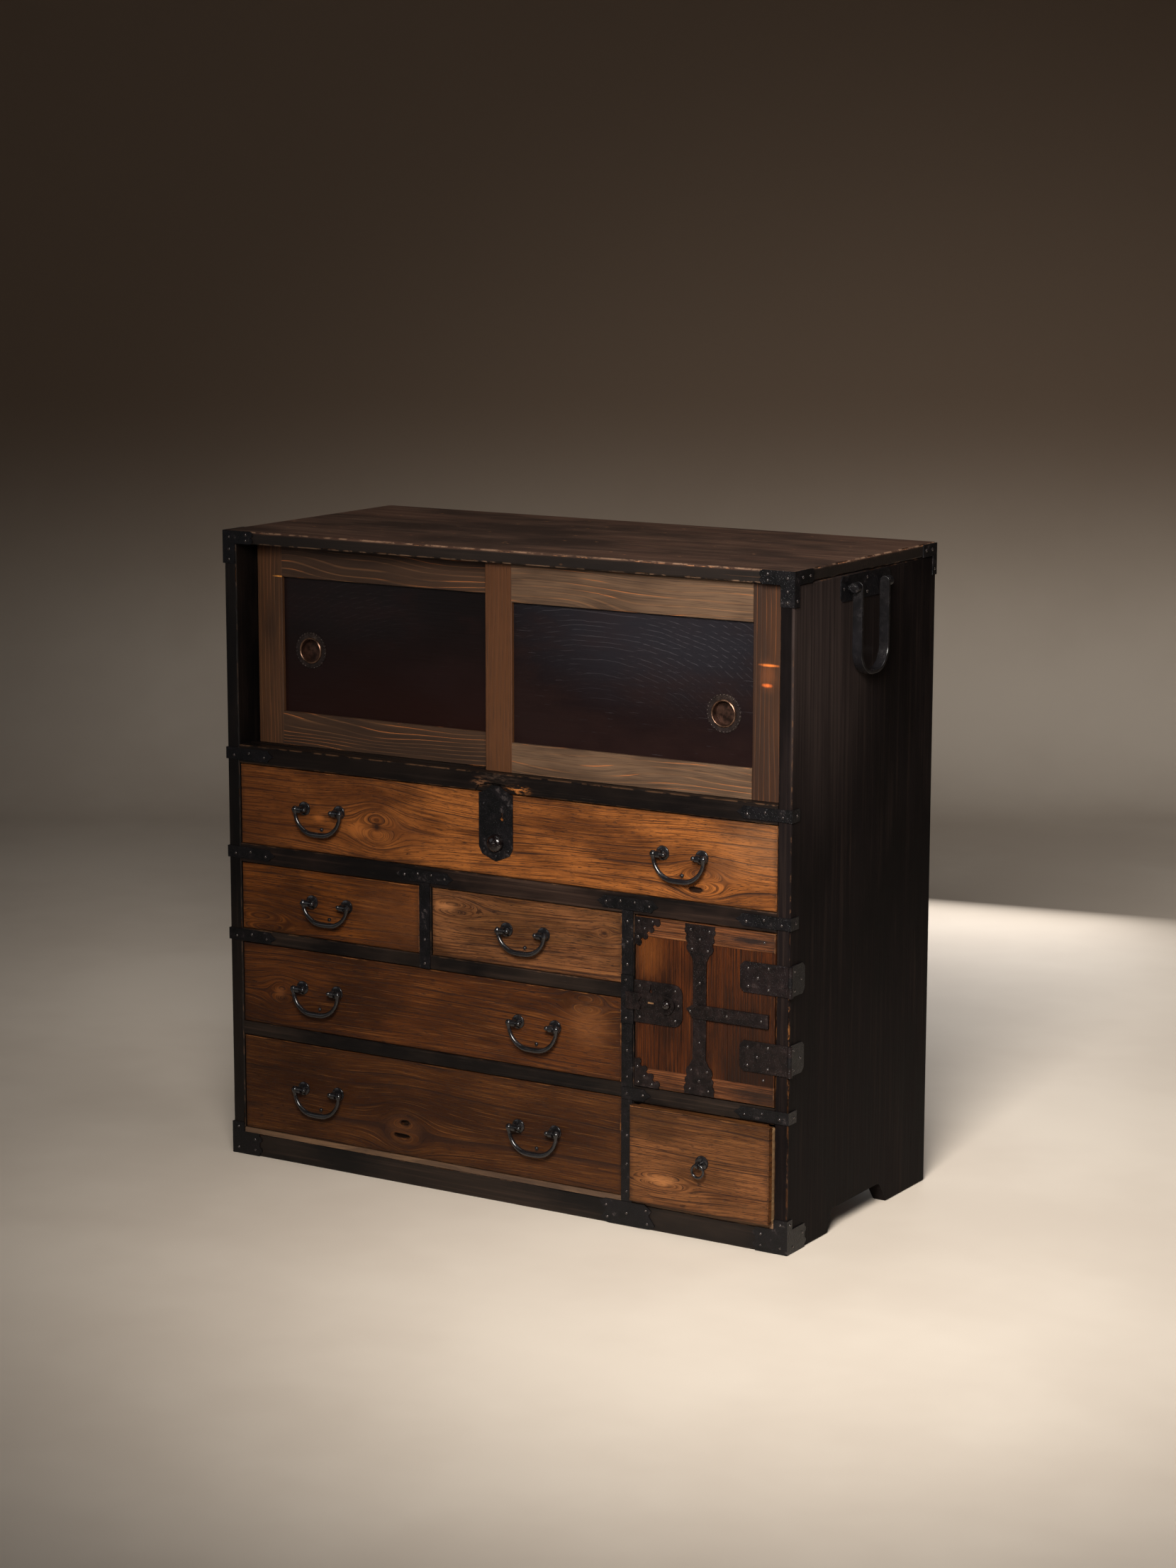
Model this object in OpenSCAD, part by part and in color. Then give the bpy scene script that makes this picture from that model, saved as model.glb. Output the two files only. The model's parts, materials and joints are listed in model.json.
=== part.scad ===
// Merchant chest: sliding doors over five iron-handled drawers, a small safe door and a ring drawer

/* [Carcass] */
// Width over the side panels
case_w = 900; // [860:1:960]
// Depth from the front face to the back
case_d = 400; // [380:1:440]
// Height from the floor to the top face
case_h = 895; // [860:1:940]
// Thickness of the side panels
side_t = 20; // [19:0.5:24]
// Thickness of the top board
top_t = 18; // [16:0.5:22]
// Thickness of the bottom board
bottom_t = 7; // [6:0.5:8]
// Thickness of the back boards
back_t = 9; // [7:0.5:11]
// Number of back boards
back_boards_n = 4; // [3:1:6]
// Thickness of the dividers
divider_t = 19; // [18:0.5:22]
// Depth of the front rails
rail_d = 30; // [26:1:36]
// Thickness of the dust boards under the drawers
dust_t = 8; // [6:0.5:9]

/* [Front layout] */
// Height of the bottom board's top face above the floor
plinth_h = 40; // [38:0.5:44]
// Share of the clear width that the left bay takes
left_bay_share = 0.7467; // [0.73:0.0001:0.755]
// Clear height of the bottom drawer's opening
bottom_open_h = 137.5; // [130:0.5:145]
// Clear height of the middle drawer's opening
middle_open_h = 116; // [110:0.5:124]
// Clear height of the small drawers' openings
small_open_h = 96; // [90:0.5:104]
// Clear height of the long drawer's opening
long_open_h = 114.5; // [110:0.5:120]
// Clear height of the ring drawer's opening
ring_open_h = 133; // [126:0.5:140]
// Height of the two thin drawer rails
thin_rail_h = 19; // [18:0.5:21]
// Height of the rail under the long drawer
upper_rail_h = 26.5; // [24:0.5:29]
// Height of the rail under the safe door
safe_rail_h = 21.5; // [20:0.5:24]
// Height of the grooved sill under the sliding doors
sill_h = 26; // [24:0.5:30]

/* [Joinery] */
// Length of a rail's tenon in a side panel
side_tenon = 12; // [8:0.5:14]
// Length of a rail's tenon in the main divider
divider_tenon = 8; // [6:0.5:8.5]
// Thickness of a tenon
tenon_t = 14; // [10:0.5:16]
// Shoulder above and below a tenon
tenon_shoulder = 4; // [3:0.5:5]
// Distance from the front face to a tenon
tenon_setback = 8; // [6:0.5:9]
// Depth of the housings for the shelf boards
housing_d = 5; // [4:0.5:6]
// Width of the back boards' rabbet
rabbet_w = 9; // [7:0.5:11]
// Clearance round a tenon or in a housing
joint_fit = 0.15; // [0.1:0.05:0.3]

/* [Feet] */
// Distance from the front to the foot cut-out
foot_front_d = 112; // [100:1:125]
// Length of the foot cut-out at the floor
foot_cut_l = 173; // [150:1:185]
// Height of the foot cut-out
foot_cut_h = 31; // [26:0.5:32]

/* [Sliding doors] */
// Thickness of a sliding door
door_t = 19; // [17:0.5:21]
// Distance from the front face to the front door
front_track = 13.5; // [12:0.5:16]
// Gap between the two doors
door_pass_gap = 3; // [2:0.5:4]
// Width of the door stiles
stile_w = 42; // [38:0.5:46]
// Height of the left door's top rail
left_head_h = 46; // [42:0.5:52]
// Height of the left door's bottom rail
left_foot_h = 46.5; // [40:0.5:52]
// Height of the right door's top rail
right_head_h = 52; // [42:0.5:56]
// Height of the right door's bottom rail
right_foot_h = 40.5; // [38:0.5:52]
// Thickness of the door panels
panel_t = 6; // [5:0.5:7]
// Distance from a door's face to its panel
panel_recess = 6; // [5:0.5:7]
// Distance that the left door stands open
left_door_open = 10; // [2:0.5:30]
// Distance that the right door stands open
right_door_open = 4; // [2:0.5:30]
// Depth of the track grooves in the sill
sill_groove = 3; // [2:0.5:4]
// Depth of the track grooves in the top board
head_groove = 8; // [6:0.5:10]
// Running clearance of a door in its track
door_fit = 0.5; // [0.3:0.1:0.8]

/* [Finger pulls] */
// Radius of the scalloped washer
pull_washer_r = 26; // [23:0.5:28]
// Radius of the raised ring
pull_ring_r = 18.5; // [17:0.5:20]
// Inner radius of the cup
pull_cup_r = 15.5; // [13:0.5:16]
// Depth of the cup below the panel's face
pull_cup_d = 8; // [6:0.5:10]
// Number of scallops round the washer
pull_scallops = 30; // [20:1:40]
// Thickness of the washer
pull_washer_t = 1; // [0.8:0.1:1.2]
// Thickness of the cup's wall
pull_cup_wall = 0.8; // [0.6:0.1:1]
// Height of the left pull above the middle of its door
left_pull_rise = -6; // [-20:1:20]
// Height of the right pull above the middle of its door
right_pull_rise = -33; // [-40:1:20]
// Distance from a door's outer edge to its pull
pull_inset = 87; // [80:1:110]

/* [Drawers] */
// Thickness of the drawer fronts
front_t = 18; // [16:0.5:20]
// Thickness of the drawer sides and backs
drawer_side_t = 9; // [8:0.5:10]
// Thickness of the drawer bottoms
drawer_bottom_t = 6; // [5:0.5:7]
// Depth of the lap that takes the sides
front_lap = 8; // [6:0.5:9]
// Clearance at each end of a drawer
drawer_gap = 1.2; // [0.8:0.1:2]
// Clearance under a drawer
runner_gap = 0.3; // [0.2:0.05:0.5]
// Clearance over a drawer front
drawer_top_gap = 1.5; // [1:0.1:2.5]
// Distance of a closed drawer front behind the chest's front
drawer_setback = 1; // [0.5:0.1:2]
// Clearance behind a closed drawer
drawer_back_gap = 1; // [0.5:0.5:15]
// Height of a drawer's sides below the top of its front
drawer_side_drop = 5; // [3:0.5:10]
// Distance that the ring drawer stands proud
ring_proud = 13; // [4:0.5:20]
// Gap between glued boards in one drawer or door
glue_gap = 0.1; // [0.05:0.05:0.2]

/* [Bails] */
// Distance between the two posts of a bail
bail_span = 59; // [54:0.5:66]
// Distance from a drawer's face to the bail's pivot
bail_standoff = 11; // [10:0.5:14]
// Drop from the pivot to the grip's centre line
bail_drop = 32.5; // [30:0.5:36]
// The same drop on the small drawers
small_bail_drop = 27; // [25:0.5:30]
// Radius of the curve between a bail's arm and its grip
bail_corner_r = 20; // [16:0.5:21]
// Radius of the bail's bar at its ends
bail_r = 3.3; // [2.8:0.1:3.6]
// Radius of the bail's grip at its middle
bail_grip_r = 4.5; // [3.6:0.1:4.8]
// Radius of the bail's pivot pins
bail_pin_r = 2.4; // [2:0.1:2.7]
// Width of a post's eye
eye_w = 6.6; // [5:0.2:7]
// Radius of a post's eye
eye_r = 5; // [4.5:0.1:5.6]
// Radius of a post's shank
shank_r = 2.6; // [2.2:0.1:3]
// Radius of the rosette under a post
rosette_r = 10; // [8:0.1:10.5]
// Height of the rosette under a post
rosette_t = 2.8; // [1.5:0.1:3.2]
// Thickness of the washer and of the clenched end behind a front
washer_h = 1.5; // [1:0.1:2]
// Radius of the washer behind a front
washer_r = 6.5; // [5:0.1:8]
// Radius of a shank's clenched end
clench_r = 4; // [3.6:0.1:4.6]
// Distance from a bail's grip up to the stud that it knocks on
stud_rise = 5.5; // [5:0.5:8]
// Radius of the stud's head
stud_r = 2.8; // [2:0.1:3]
// Height of the bail pivots above the middle of a drawer
bail_rise = 3; // [0:0.5:6]
// Distance from the long drawer's end to the middle of a bail
long_bail_inset = 141; // [120:1:160]
// The same distance on the two wide drawers
wide_bail_inset = 134; // [115:1:150]
// Radius of the ring's centre line on the ring drawer
ring_mid_r = 8.6; // [8:0.2:10]
// Radius of the ring's wire
ring_wire_r = 1.8; // [1.5:0.1:2]
// Width of the eye that holds the ring
ring_eye_w = 3.4; // [3:0.2:4]
// Clearance of the ring's wire in its eye
ring_slack = 0.3; // [0.3:0.05:0.5]
// Distance of the ring from the middle of its drawer
ring_offset = 6; // [-20:1:20]
// Running clearance of a pin in its eye
pin_fit = 0.08; // [0.05:0.01:0.1]

/* [Safe door] */
// Thickness of the safe door
safe_t = 20; // [18:0.5:22]
// Distance that the safe door stands proud
safe_proud = 0.4; // [0.3:0.1:0.8]
// Gap at the safe door's free edge
safe_free_gap = 2; // [1.8:0.1:3]
// Gap at the safe door's other edges
safe_gap = 1.5; // [1:0.1:2]
// Height of the two battens
batten_h = 26; // [22:0.5:30]
// Distance of the panel boards behind the battens' face
safe_panel_back = 0.5; // [0.3:0.1:0.8]
// Number of panel boards in the safe door
safe_boards_n = 3; // [2:1:5]
// Height of a hinge leaf
hinge_h = 41; // [36:0.5:46]
// Reach of a hinge leaf on the door, from the corner
hinge_l = 72; // [60:1:80]
// Reach of a hinge leaf on the side panel
hinge_side_l = 38; // [30:1:45]
// Height of the upper hinge's middle above the safe rail
upper_hinge_z = 171; // [150:1:185]
// Height of the lower hinge's middle above the safe rail
lower_hinge_z = 66; // [50:1:80]
// Radius of the hinge pins
hinge_pin_r = 1.6; // [1.4:0.1:1.8]
// Radius of the hinge knuckles
knuckle_r = 3.4; // [3.2:0.1:3.8]
// Distance from the corner of the case to the hinge axis, each way
hinge_out = 2.8; // [2.8:0.1:3.4]
// Thickness of the bar across the safe door
safe_bar_t = 4.5; // [3.6:0.1:5]
// Half the height of the bar across the safe door
safe_bar_half = 9; // [7:0.5:11]
// Gap between the lock plate and the bar
safe_bar_gap = 7; // [5:0.5:9]
// Distance from the bar's end to the door's hinged edge
safe_bar_end = 7.5; // [5:0.5:12]
// Radius of the strap's round lobes
lobe_r = 11; // [9:0.5:13]

/* [Ironwork] */
// Thickness of the plate iron
iron_t = 1.6; // [1.2:0.1:2]
// Height of the straps on the rails
strap_h = 16.5; // [14:0.5:17]
// Length of the straps at the corners
corner_strap_l = 80; // [60:1:95]
// Length of the straps over the dividers
divider_strap_l = 94; // [80:1:110]
// Length of a strap's return on the side panel
return_l = 20; // [15:1:28]
// Radius of a nail's head
nail_head_r = 2.1; // [1.7:0.1:2.5]
// Height of a nail's head
nail_head_h = 1.3; // [1:0.1:1.8]
// Radius of a nail's shank
nail_r = 0.9; // [0.7:0.1:1.1]
// Length of a nail's shank
nail_l = 9; // [6:0.5:11]
// Half the height of the strike plate beside the safe
strike_half = 33; // [30:0.5:36]
// Gap between two irons that follow each other
strip_gap = 0.5; // [0.3:0.1:1]
// Gap between the lowest irons and the floor
floor_gap = 0.5; // [0.3:0.1:1]
// Distance from the plinth plate's top to the floor
plinth_plate_h = 34; // [33.5:0.1:36]

/* [Locks] */
// Width of the long drawer's lock plate
lock_w = 54; // [50:1:60]
// Rise of the lock plate's peak over the drawer opening
lock_peak = 9.5; // [8:0.5:11]
// Width of the lock plate's flat peak
lock_peak_w = 12; // [8:0.5:16]
// Height of the lock button above the drawer opening's floor
long_button_z = 45.5; // [42:0.5:50]
// Distance of the lock plate's nails from its sides
lock_nail_inset = 7.5; // [6:0.5:9]
// Distance from the lock plate's shoulders down to its upper nails
lock_nail_drop = 15; // [12:0.5:18]
// Distance from the lock plate's shoulders down to its keyhole
keyhole_drop = 34; // [30:0.5:38]
// Radius of a keyhole
key_w = 2.4; // [2:0.1:2.8]
// Radius of the long drawer's lock button
long_button_r = 12; // [10:0.5:13]
// Thickness of the safe's lock plate
lock_plate_t = 2.2; // [1.8:0.1:2.4]
// Width of the safe's lock plate
safe_lock_w = 73; // [68:1:80]
// Height of the safe's lock plate
safe_lock_h = 57; // [50:1:62]
// Height of the safe's lock above the safe rail
safe_lock_z = 117.5; // [110:0.5:125]
// Radius of the safe's lock button
safe_button_r = 6; // [5:0.5:7]
// Travel of a lock button
button_travel = 3; // [2:0.5:4]
// Travel of a lock bolt
bolt_travel = 8; // [6:0.5:9]
// Thickness of a lock bolt
bolt_t = 4; // [3:0.5:4.5]
// Width of a lock bolt
bolt_w = 13; // [10:0.5:14]
// Running clearance round a bolt or a button
lock_fit = 0.3; // [0.2:0.05:0.4]

/* [Side handles] */
// Distance from the front to the middle of a side handle
handle_d = 193; // [180:1:215]
// Width over a side handle's legs
handle_w = 80; // [72:1:90]
// Drop from the pivot to the bottom of a side handle
handle_drop = 117; // [100:1:130]
// Width of the handle's band
handle_band_w = 14; // [12:0.5:16]
// Thickness of the handle's band
handle_band_t = 4.5; // [3.5:0.5:5.5]
// Gap between the side panel and the band
handle_gap = 3; // [2.5:0.5:5]
// Distance from the top face to the pivot
handle_pivot_drop = 35; // [32:1:42]
// Radius of the handle's pivot pins
handle_pin_r = 3.6; // [3:0.1:4]
// Radius of the handle's eyes
handle_eye_r = 6.6; // [6:0.1:7.2]
// Length of a handle's eye
handle_eye_l = 10; // [8:0.5:12]
// Length of the plate behind a side handle
handle_plate_l = 139; // [130:1:150]
// Height of the plate behind a side handle
handle_plate_h = 33; // [30:0.5:38]

/* [Hidden] */

$fn = 48;
// Overshoot of a cutting shape beyond the face that it cuts
cut = 1;

// Heights of the rails, from the floor up
bottom_z = plinth_h;
low_rail_z = bottom_z + bottom_open_h;
middle_z = low_rail_z + thin_rail_h;
mid_rail_z = middle_z + middle_open_h;
small_z = mid_rail_z + thin_rail_h;
upper_rail_z = small_z + small_open_h;
long_z = upper_rail_z + upper_rail_h;
sill_z = long_z + long_open_h;
door_open_z = sill_z + sill_h;
top_z = case_h - top_t;
safe_rail_z = plinth_h + ring_open_h;
safe_z = safe_rail_z + safe_rail_h;

// Places across the width, from the left
inner_x0 = side_t;
inner_x1 = case_w - side_t;
left_bay_w = round((inner_x1 - inner_x0 - divider_t) * left_bay_share);
divider_x0 = inner_x0 + left_bay_w;
divider_x1 = divider_x0 + divider_t;
small_div_x0 = inner_x0 + (left_bay_w - divider_t) / 2;
small_div_x1 = small_div_x0 + divider_t;
back_y = case_d - back_t;

// Openings of the drawers: left, right, floor, ceiling
long_o = [inner_x0, inner_x1, long_z, sill_z];
small_left_o = [inner_x0, small_div_x0, small_z, upper_rail_z];
small_right_o = [small_div_x1, divider_x0, small_z, upper_rail_z];
middle_o = [inner_x0, divider_x0, middle_z, mid_rail_z];
bottom_o = [inner_x0, divider_x0, bottom_z, low_rail_z];
ring_o = [divider_x1, inner_x1, plinth_h, safe_rail_z];
ring_pull = ring_proud + drawer_setback;
drawer_l = back_y - drawer_back_gap - drawer_setback;

// Bails
joint_gap = 0.3;
arm_ball_r = bail_r + 1.5;
bead_r = bail_pin_r + 1;
bail_half = bail_span / 2;
arm_x = bail_half + eye_w / 2 + joint_gap + arm_ball_r;
long_bails = [inner_x0 + long_bail_inset, inner_x1 - long_bail_inset];
middle_bails = [inner_x0 + wide_bail_inset, divider_x0 - wide_bail_inset];
ring_x = (ring_o[0] + ring_o[1]) / 2 + ring_offset;
// Nails are drawn as solids, or as the holes that they pass through
$hole = false;

// Sliding doors
door_w = (inner_x1 - inner_x0 + stile_w) / 2;
left_door_x = inner_x0 + left_door_open;
right_door_x = inner_x1 - right_door_open - door_w;
front_door_y = front_track;
rear_door_y = front_track + door_t + door_pass_gap;
door_z0 = door_open_z + door_fit;
door_z1 = top_z - door_fit;
tongue_t = door_t / 2;
groove_w = tongue_t + 2 * door_fit;
sill_d = rear_door_y + door_t + panel_t;

// Safe door
safe_x0 = divider_x1 + safe_free_gap;
safe_x1 = inner_x1 - safe_gap;
safe_z0 = safe_z + safe_gap;
safe_z1 = upper_rail_z - safe_gap;
hinge_x = case_w + hinge_out;
hinge_y = -hinge_out;
safe_face = -safe_proud;
safe_mid_x = (safe_x0 + safe_x1) / 2 - 6;
safe_lock_mid = safe_z + safe_lock_z;

// The origin is under the middle of all that stands out, so the posts' reach counts
bail_out = bail_standoff + max(arm_ball_r, eye_r) - drawer_setback;
ring_out = ring_proud + bail_standoff + eye_r;
front_y = -(case_d - max(bail_out, ring_out)) / 2;

wood_dark = [0.10, 0.075, 0.06];
wood_front = [0.50, 0.30, 0.15];
wood_frame = [0.36, 0.26, 0.17];
wood_panel = [0.13, 0.07, 0.06];
wood_raw = [0.55, 0.42, 0.28];
wood_safe = [0.42, 0.20, 0.09];
iron = [0.10, 0.095, 0.09];
bronze = [0.45, 0.30, 0.18];

// Moves a shape drawn from the left, the front face and the floor to the part's own frame
module place() translate([-case_w / 2, front_y, 0]) children();

module board(x0, x1, y0, y1, z0, z1) translate([x0, y0, z0]) cube([x1 - x0, y1 - y0, z1 - z0]);

// Flat shape drawn across the width and up, standing proud of the plane at depth y
module front_plate(y, t) translate([0, y, 0]) rotate([90, 0, 0]) linear_extrude(t) children();

// Flat shape drawn along the depth and up, on the outside of the right or left side panel
module side_plate(right, t) {
    if (right) translate([case_w, 0, 0]) rotate([90, 0, 90]) linear_extrude(t) children();
    else translate([-t, 0, 0]) rotate([90, 0, 90]) linear_extrude(t) children();
}

function arc(cx, cy, r, a0, a1, n) =
    [for (i = [0:n]) let (a = a0 + (a1 - a0) * i / n) [cx + r * cos(a), cy + r * sin(a)]];

// Rails and their joints
module rail(x0, x1, z0, h, d, tenon0, tenon1) {
    board(x0, x1, 0, d, z0, z0 + h);
    board(x0 - tenon0, x1 + tenon1, tenon_setback, tenon_setback + tenon_t,
          z0 + tenon_shoulder, z0 + h - tenon_shoulder);
}

module mortise(x0, x1, z0, h)
    board(x0, x1, tenon_setback - joint_fit, tenon_setback + tenon_t + joint_fit,
          z0 + tenon_shoulder - joint_fit, z0 + h - tenon_shoulder + joint_fit);

module housing(x0, x1, y0, z_top, t) board(x0, x1, y0, back_y + joint_fit, z_top - t - joint_fit,
                                          z_top + joint_fit);

module foot_profile() {
    lean_front = 10;
    lean_back = 24;
    corner = 9;
    y0 = foot_front_d;
    y1 = foot_front_d + foot_cut_l;
    polygon(concat([[y0, -cut], [y0 + 2, foot_cut_h * 0.3]],
                   arc(y0 + lean_front + corner, foot_cut_h - corner, corner, 165, 90, 6),
                   arc(y1 - lean_back - corner / 2, foot_cut_h - corner, corner, 90, 30, 6),
                   [[y1 - 2, 2], [y1, -cut]]));
}

module side_panel(right) {
    inner = right ? case_w - side_t : side_t;
    rails = right
        ? [[0, plinth_h - bottom_t], [safe_rail_z, safe_rail_h], [upper_rail_z, upper_rail_h],
           [sill_z, sill_h]]
        : [[0, plinth_h - bottom_t], [low_rail_z, thin_rail_h], [mid_rail_z, thin_rail_h],
           [upper_rail_z, upper_rail_h], [sill_z, sill_h]];
    shelves = right ? [safe_z, long_z] : [middle_z, small_z, long_z];
    tenon_end = side_tenon + joint_fit;
    house_end = housing_d + joint_fit;
    difference() {
        board(right ? inner : 0, right ? case_w : inner, 0, case_d, 0, top_z);
        translate([right ? inner - cut : -cut, 0, 0])
            rotate([90, 0, 90]) linear_extrude(side_t + 2 * cut) foot_profile();
        for (r = rails) {
            if (right) mortise(inner - cut, inner + tenon_end, r[0], r[1]);
            else mortise(inner - tenon_end, inner + cut, r[0], r[1]);
        }
        for (z = shelves) {
            if (right) housing(inner - cut, inner + house_end, rail_d, z, dust_t);
            else housing(inner - house_end, inner + cut, rail_d, z, dust_t);
        }
        if (right) housing(inner - cut, inner + house_end, tenon_setback, plinth_h, bottom_t);
        else housing(inner - house_end, inner + cut, tenon_setback, plinth_h, bottom_t);
        if (right) housing(inner - cut, inner + house_end, sill_d, door_open_z, dust_t);
        else housing(inner - house_end, inner + cut, sill_d, door_open_z, dust_t);
        if (right) board(inner - cut, inner + rabbet_w, back_y, case_d + cut,
                         plinth_h - bottom_t, top_z + cut);
        else board(inner - rabbet_w, inner + cut, back_y, case_d + cut,
                   plinth_h - bottom_t, top_z + cut);
    }
}

module side_panel_left() color(wood_dark) place() side_panel(false);

module side_panel_right() color(wood_dark) place() side_panel(true);

module track_grooves(z0, z1) {
    for (y = [front_door_y, rear_door_y])
        board(inner_x0, inner_x1, y + (door_t - groove_w) / 2, y + (door_t + groove_w) / 2, z0, z1);
}

module top_board() color(wood_dark) place() difference() {
    board(0, case_w, 0, case_d, top_z, case_h);
    track_grooves(top_z - cut, top_z + head_groove);
}

module bottom_board() color(wood_dark) place() {
    board(inner_x0, inner_x1, 0, back_y, plinth_h - bottom_t, plinth_h);
    board(inner_x0 - housing_d, inner_x1 + housing_d, tenon_setback + joint_fit, back_y,
          plinth_h - bottom_t, plinth_h);
}

module back_boards() color(wood_raw) place() {
    z0 = plinth_h - bottom_t;
    pitch = (top_z - z0) / back_boards_n;
    for (i = [0:back_boards_n - 1])
        board(inner_x0 - rabbet_w + joint_fit, inner_x1 + rabbet_w - joint_fit, back_y, case_d,
              z0 + i * pitch, z0 + (i + 1) * pitch - joint_gap);
}

// The sill is worn hollow over the lock plate's peak
module sill_rail() color(wood_dark) place() difference() {
    rail(inner_x0, inner_x1, sill_z, sill_h, sill_d, side_tenon, side_tenon);
    track_grooves(door_open_z - sill_groove, door_open_z + cut);
    wear_d = 2.6;
    wear_w = lock_w + 16;
    front_plate(wear_d, wear_d + cut) polygon(concat(
        [[lock_x - wear_w / 2, sill_z - cut]],
        [for (i = [1:7]) [lock_x - wear_w / 2 + wear_w * i / 8,
                          sill_z + lock_peak + 3 - 7 * pow(i / 4 - 1, 2)]],
        [[lock_x + wear_w / 2, sill_z - cut]]));
    board(lock_x - bolt_w / 2 - lock_fit * 2, lock_x + bolt_w / 2 + lock_fit * 2,
          long_bolt_y - lock_fit * 2, long_bolt_y + bolt_t + lock_fit * 2,
          sill_z - cut, sill_z + bolt_travel + 2);
}

module upper_rail() color(wood_dark) place()
    rail(inner_x0, inner_x1, upper_rail_z, upper_rail_h, rail_d, side_tenon, side_tenon);

module drawer_rails() color(wood_dark) place() {
    for (z = [low_rail_z, mid_rail_z])
        rail(inner_x0, divider_x0, z, thin_rail_h, rail_d, side_tenon, divider_tenon);
    rail(divider_x1, inner_x1, safe_rail_z, safe_rail_h, rail_d, divider_tenon, side_tenon);
}

module plinth_rail() color(wood_dark) place()
    rail(inner_x0, inner_x1, 0, plinth_h - bottom_t, rail_d, side_tenon, side_tenon);

// A divider's front edge stops under the upper rail, and behind it reaches the dust board
module divider_profile(z0) polygon([
    [0, z0], [back_y, z0], [back_y, long_z - dust_t], [rail_d, long_z - dust_t],
    [rail_d, upper_rail_z], [0, upper_rail_z]]);

module main_divider() color(wood_dark) place() difference() {
    translate([divider_x0, 0, 0]) rotate([90, 0, 90]) linear_extrude(divider_t)
        divider_profile(plinth_h);
    for (z = [low_rail_z, mid_rail_z])
        mortise(divider_x0 - cut, divider_x0 + divider_tenon + joint_fit, z, thin_rail_h);
    mortise(divider_x1 - divider_tenon - joint_fit, divider_x1 + cut, safe_rail_z, safe_rail_h);
    for (z = [middle_z, small_z])
        housing(divider_x0 - cut, divider_x0 + housing_d + joint_fit, rail_d, z, dust_t);
    housing(divider_x1 - housing_d - joint_fit, divider_x1 + cut, rail_d, safe_z, dust_t);
    board(divider_x1 - bolt_travel, divider_x1 + cut,
          safe_bolt_y - lock_fit * 2, safe_bolt_y + bolt_t + lock_fit * 2,
          safe_lock_mid - bolt_w / 2 - lock_fit * 2, safe_lock_mid + bolt_w / 2 + lock_fit * 2);
}

module small_divider() color(wood_dark) place()
    translate([small_div_x0, 0, 0]) rotate([90, 0, 90]) linear_extrude(divider_t)
        divider_profile(small_z);

module dust_boards() color(wood_raw) place() {
    for (z = [middle_z, small_z])
        board(inner_x0 - housing_d, divider_x0 + housing_d, rail_d, back_y, z - dust_t, z);
    board(divider_x1 - housing_d, inner_x1 + housing_d, rail_d, back_y, safe_z - dust_t, safe_z);
    board(inner_x0 - housing_d, inner_x1 + housing_d, rail_d, back_y, long_z - dust_t, long_z);
    board(inner_x0 - housing_d, inner_x1 + housing_d, sill_d, back_y,
          door_open_z - dust_t, door_open_z);
}

// A nail is a domed head over a shank; its head points to the front
module nail(x, y, z) translate([x, y, z]) rotate([90, 0, 0]) {
    if ($hole) translate([0, 0, -nail_l]) cylinder(h = nail_l + cut, r = nail_r + glue_gap, $fn = 16);
    else rotate_extrude($fn = 20) polygon([
        [0, -nail_l], [nail_r, -nail_l], [nail_r, 0], [nail_head_r, 0],
        [nail_head_r * 0.92, nail_head_h * 0.45], [nail_head_r * 0.6, nail_head_h * 0.85],
        [0, nail_head_h]]);
}

module side_nail(right, y, z) {
    if (right) translate([case_w + iron_t, y, z]) rotate([0, 0, 90]) nail(0, 0, 0);
    else translate([-iron_t, y, z]) rotate([0, 0, -90]) nail(0, 0, 0);
}

// Straps with a pointed, shouldered end
function strap_tip(x, s) = [
    [x - 10 * s, strap_h / 2], [x - 8 * s, strap_h * 0.3], [x, 0],
    [x - 8 * s, -strap_h * 0.3], [x - 10 * s, -strap_h / 2]];

module strap_shape(x0, x1, z, tip0, tip1) translate([0, z]) polygon(concat(
    tip1 ? strap_tip(x1, 1) : [[x1, strap_h / 2], [x1, -strap_h / 2]],
    tip0 ? [for (i = [4:-1:0]) strap_tip(x0, -1)[i]] : [[x0, -strap_h / 2], [x0, strap_h / 2]]));

module corner_strap(right, z) {
    front_plate(0, iron_t) {
        if (right) strap_shape(case_w - corner_strap_l, case_w + iron_t, z, true, false);
        else strap_shape(-iron_t, corner_strap_l, z, false, true);
    }
    side_plate(right, iron_t) translate([-iron_t, z - strap_h / 2])
        square([return_l + iron_t, strap_h]);
}

// The corner irons have two arms on the front and two on the side, with round lobes
module corner_iron(right, top) {
    arm = 46;
    low = top ? case_h - arm : floor_gap;
    foot = top ? top_z : floor_gap;
    band = top ? top_t : plinth_h - bottom_t - floor_gap;
    side_band = 12;
    x0 = right ? case_w - arm : -iron_t;
    x1 = right ? case_w + iron_t : arm;
    s0 = right ? case_w - side_t + 1 : -iron_t;
    s1 = right ? case_w + iron_t : side_t - 1;
    lobe = 4;
    end_x = right ? x0 : x1;
    module lobes(x) {
        for (k = [0.26, 0.74]) translate([x, foot + band * k]) circle(lobe);
    }
    front_plate(0, iron_t) {
        translate([x0, foot]) square([x1 - x0, band]);
        translate([s0, low]) square([s1 - s0, arm]);
        lobes(end_x);
    }
    side_plate(right, iron_t) {
        translate([-iron_t, foot]) square([arm + iron_t, band]);
        translate([-iron_t, low]) square([side_band + iron_t, arm]);
        lobes(arm);
    }
}

// The irons at the back corners lie on the side panels only
module back_iron(right) side_plate(right, iron_t) {
    arm = 40;
    translate([case_d - arm, top_z]) square([arm, top_t - 1]);
    translate([case_d - 11, top_z - 26]) square([11, 28]);
}

module divider_strap(x, z) front_plate(0, iron_t)
    strap_shape(x - divider_strap_l / 2, x + divider_strap_l / 2, z, true, true);

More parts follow.
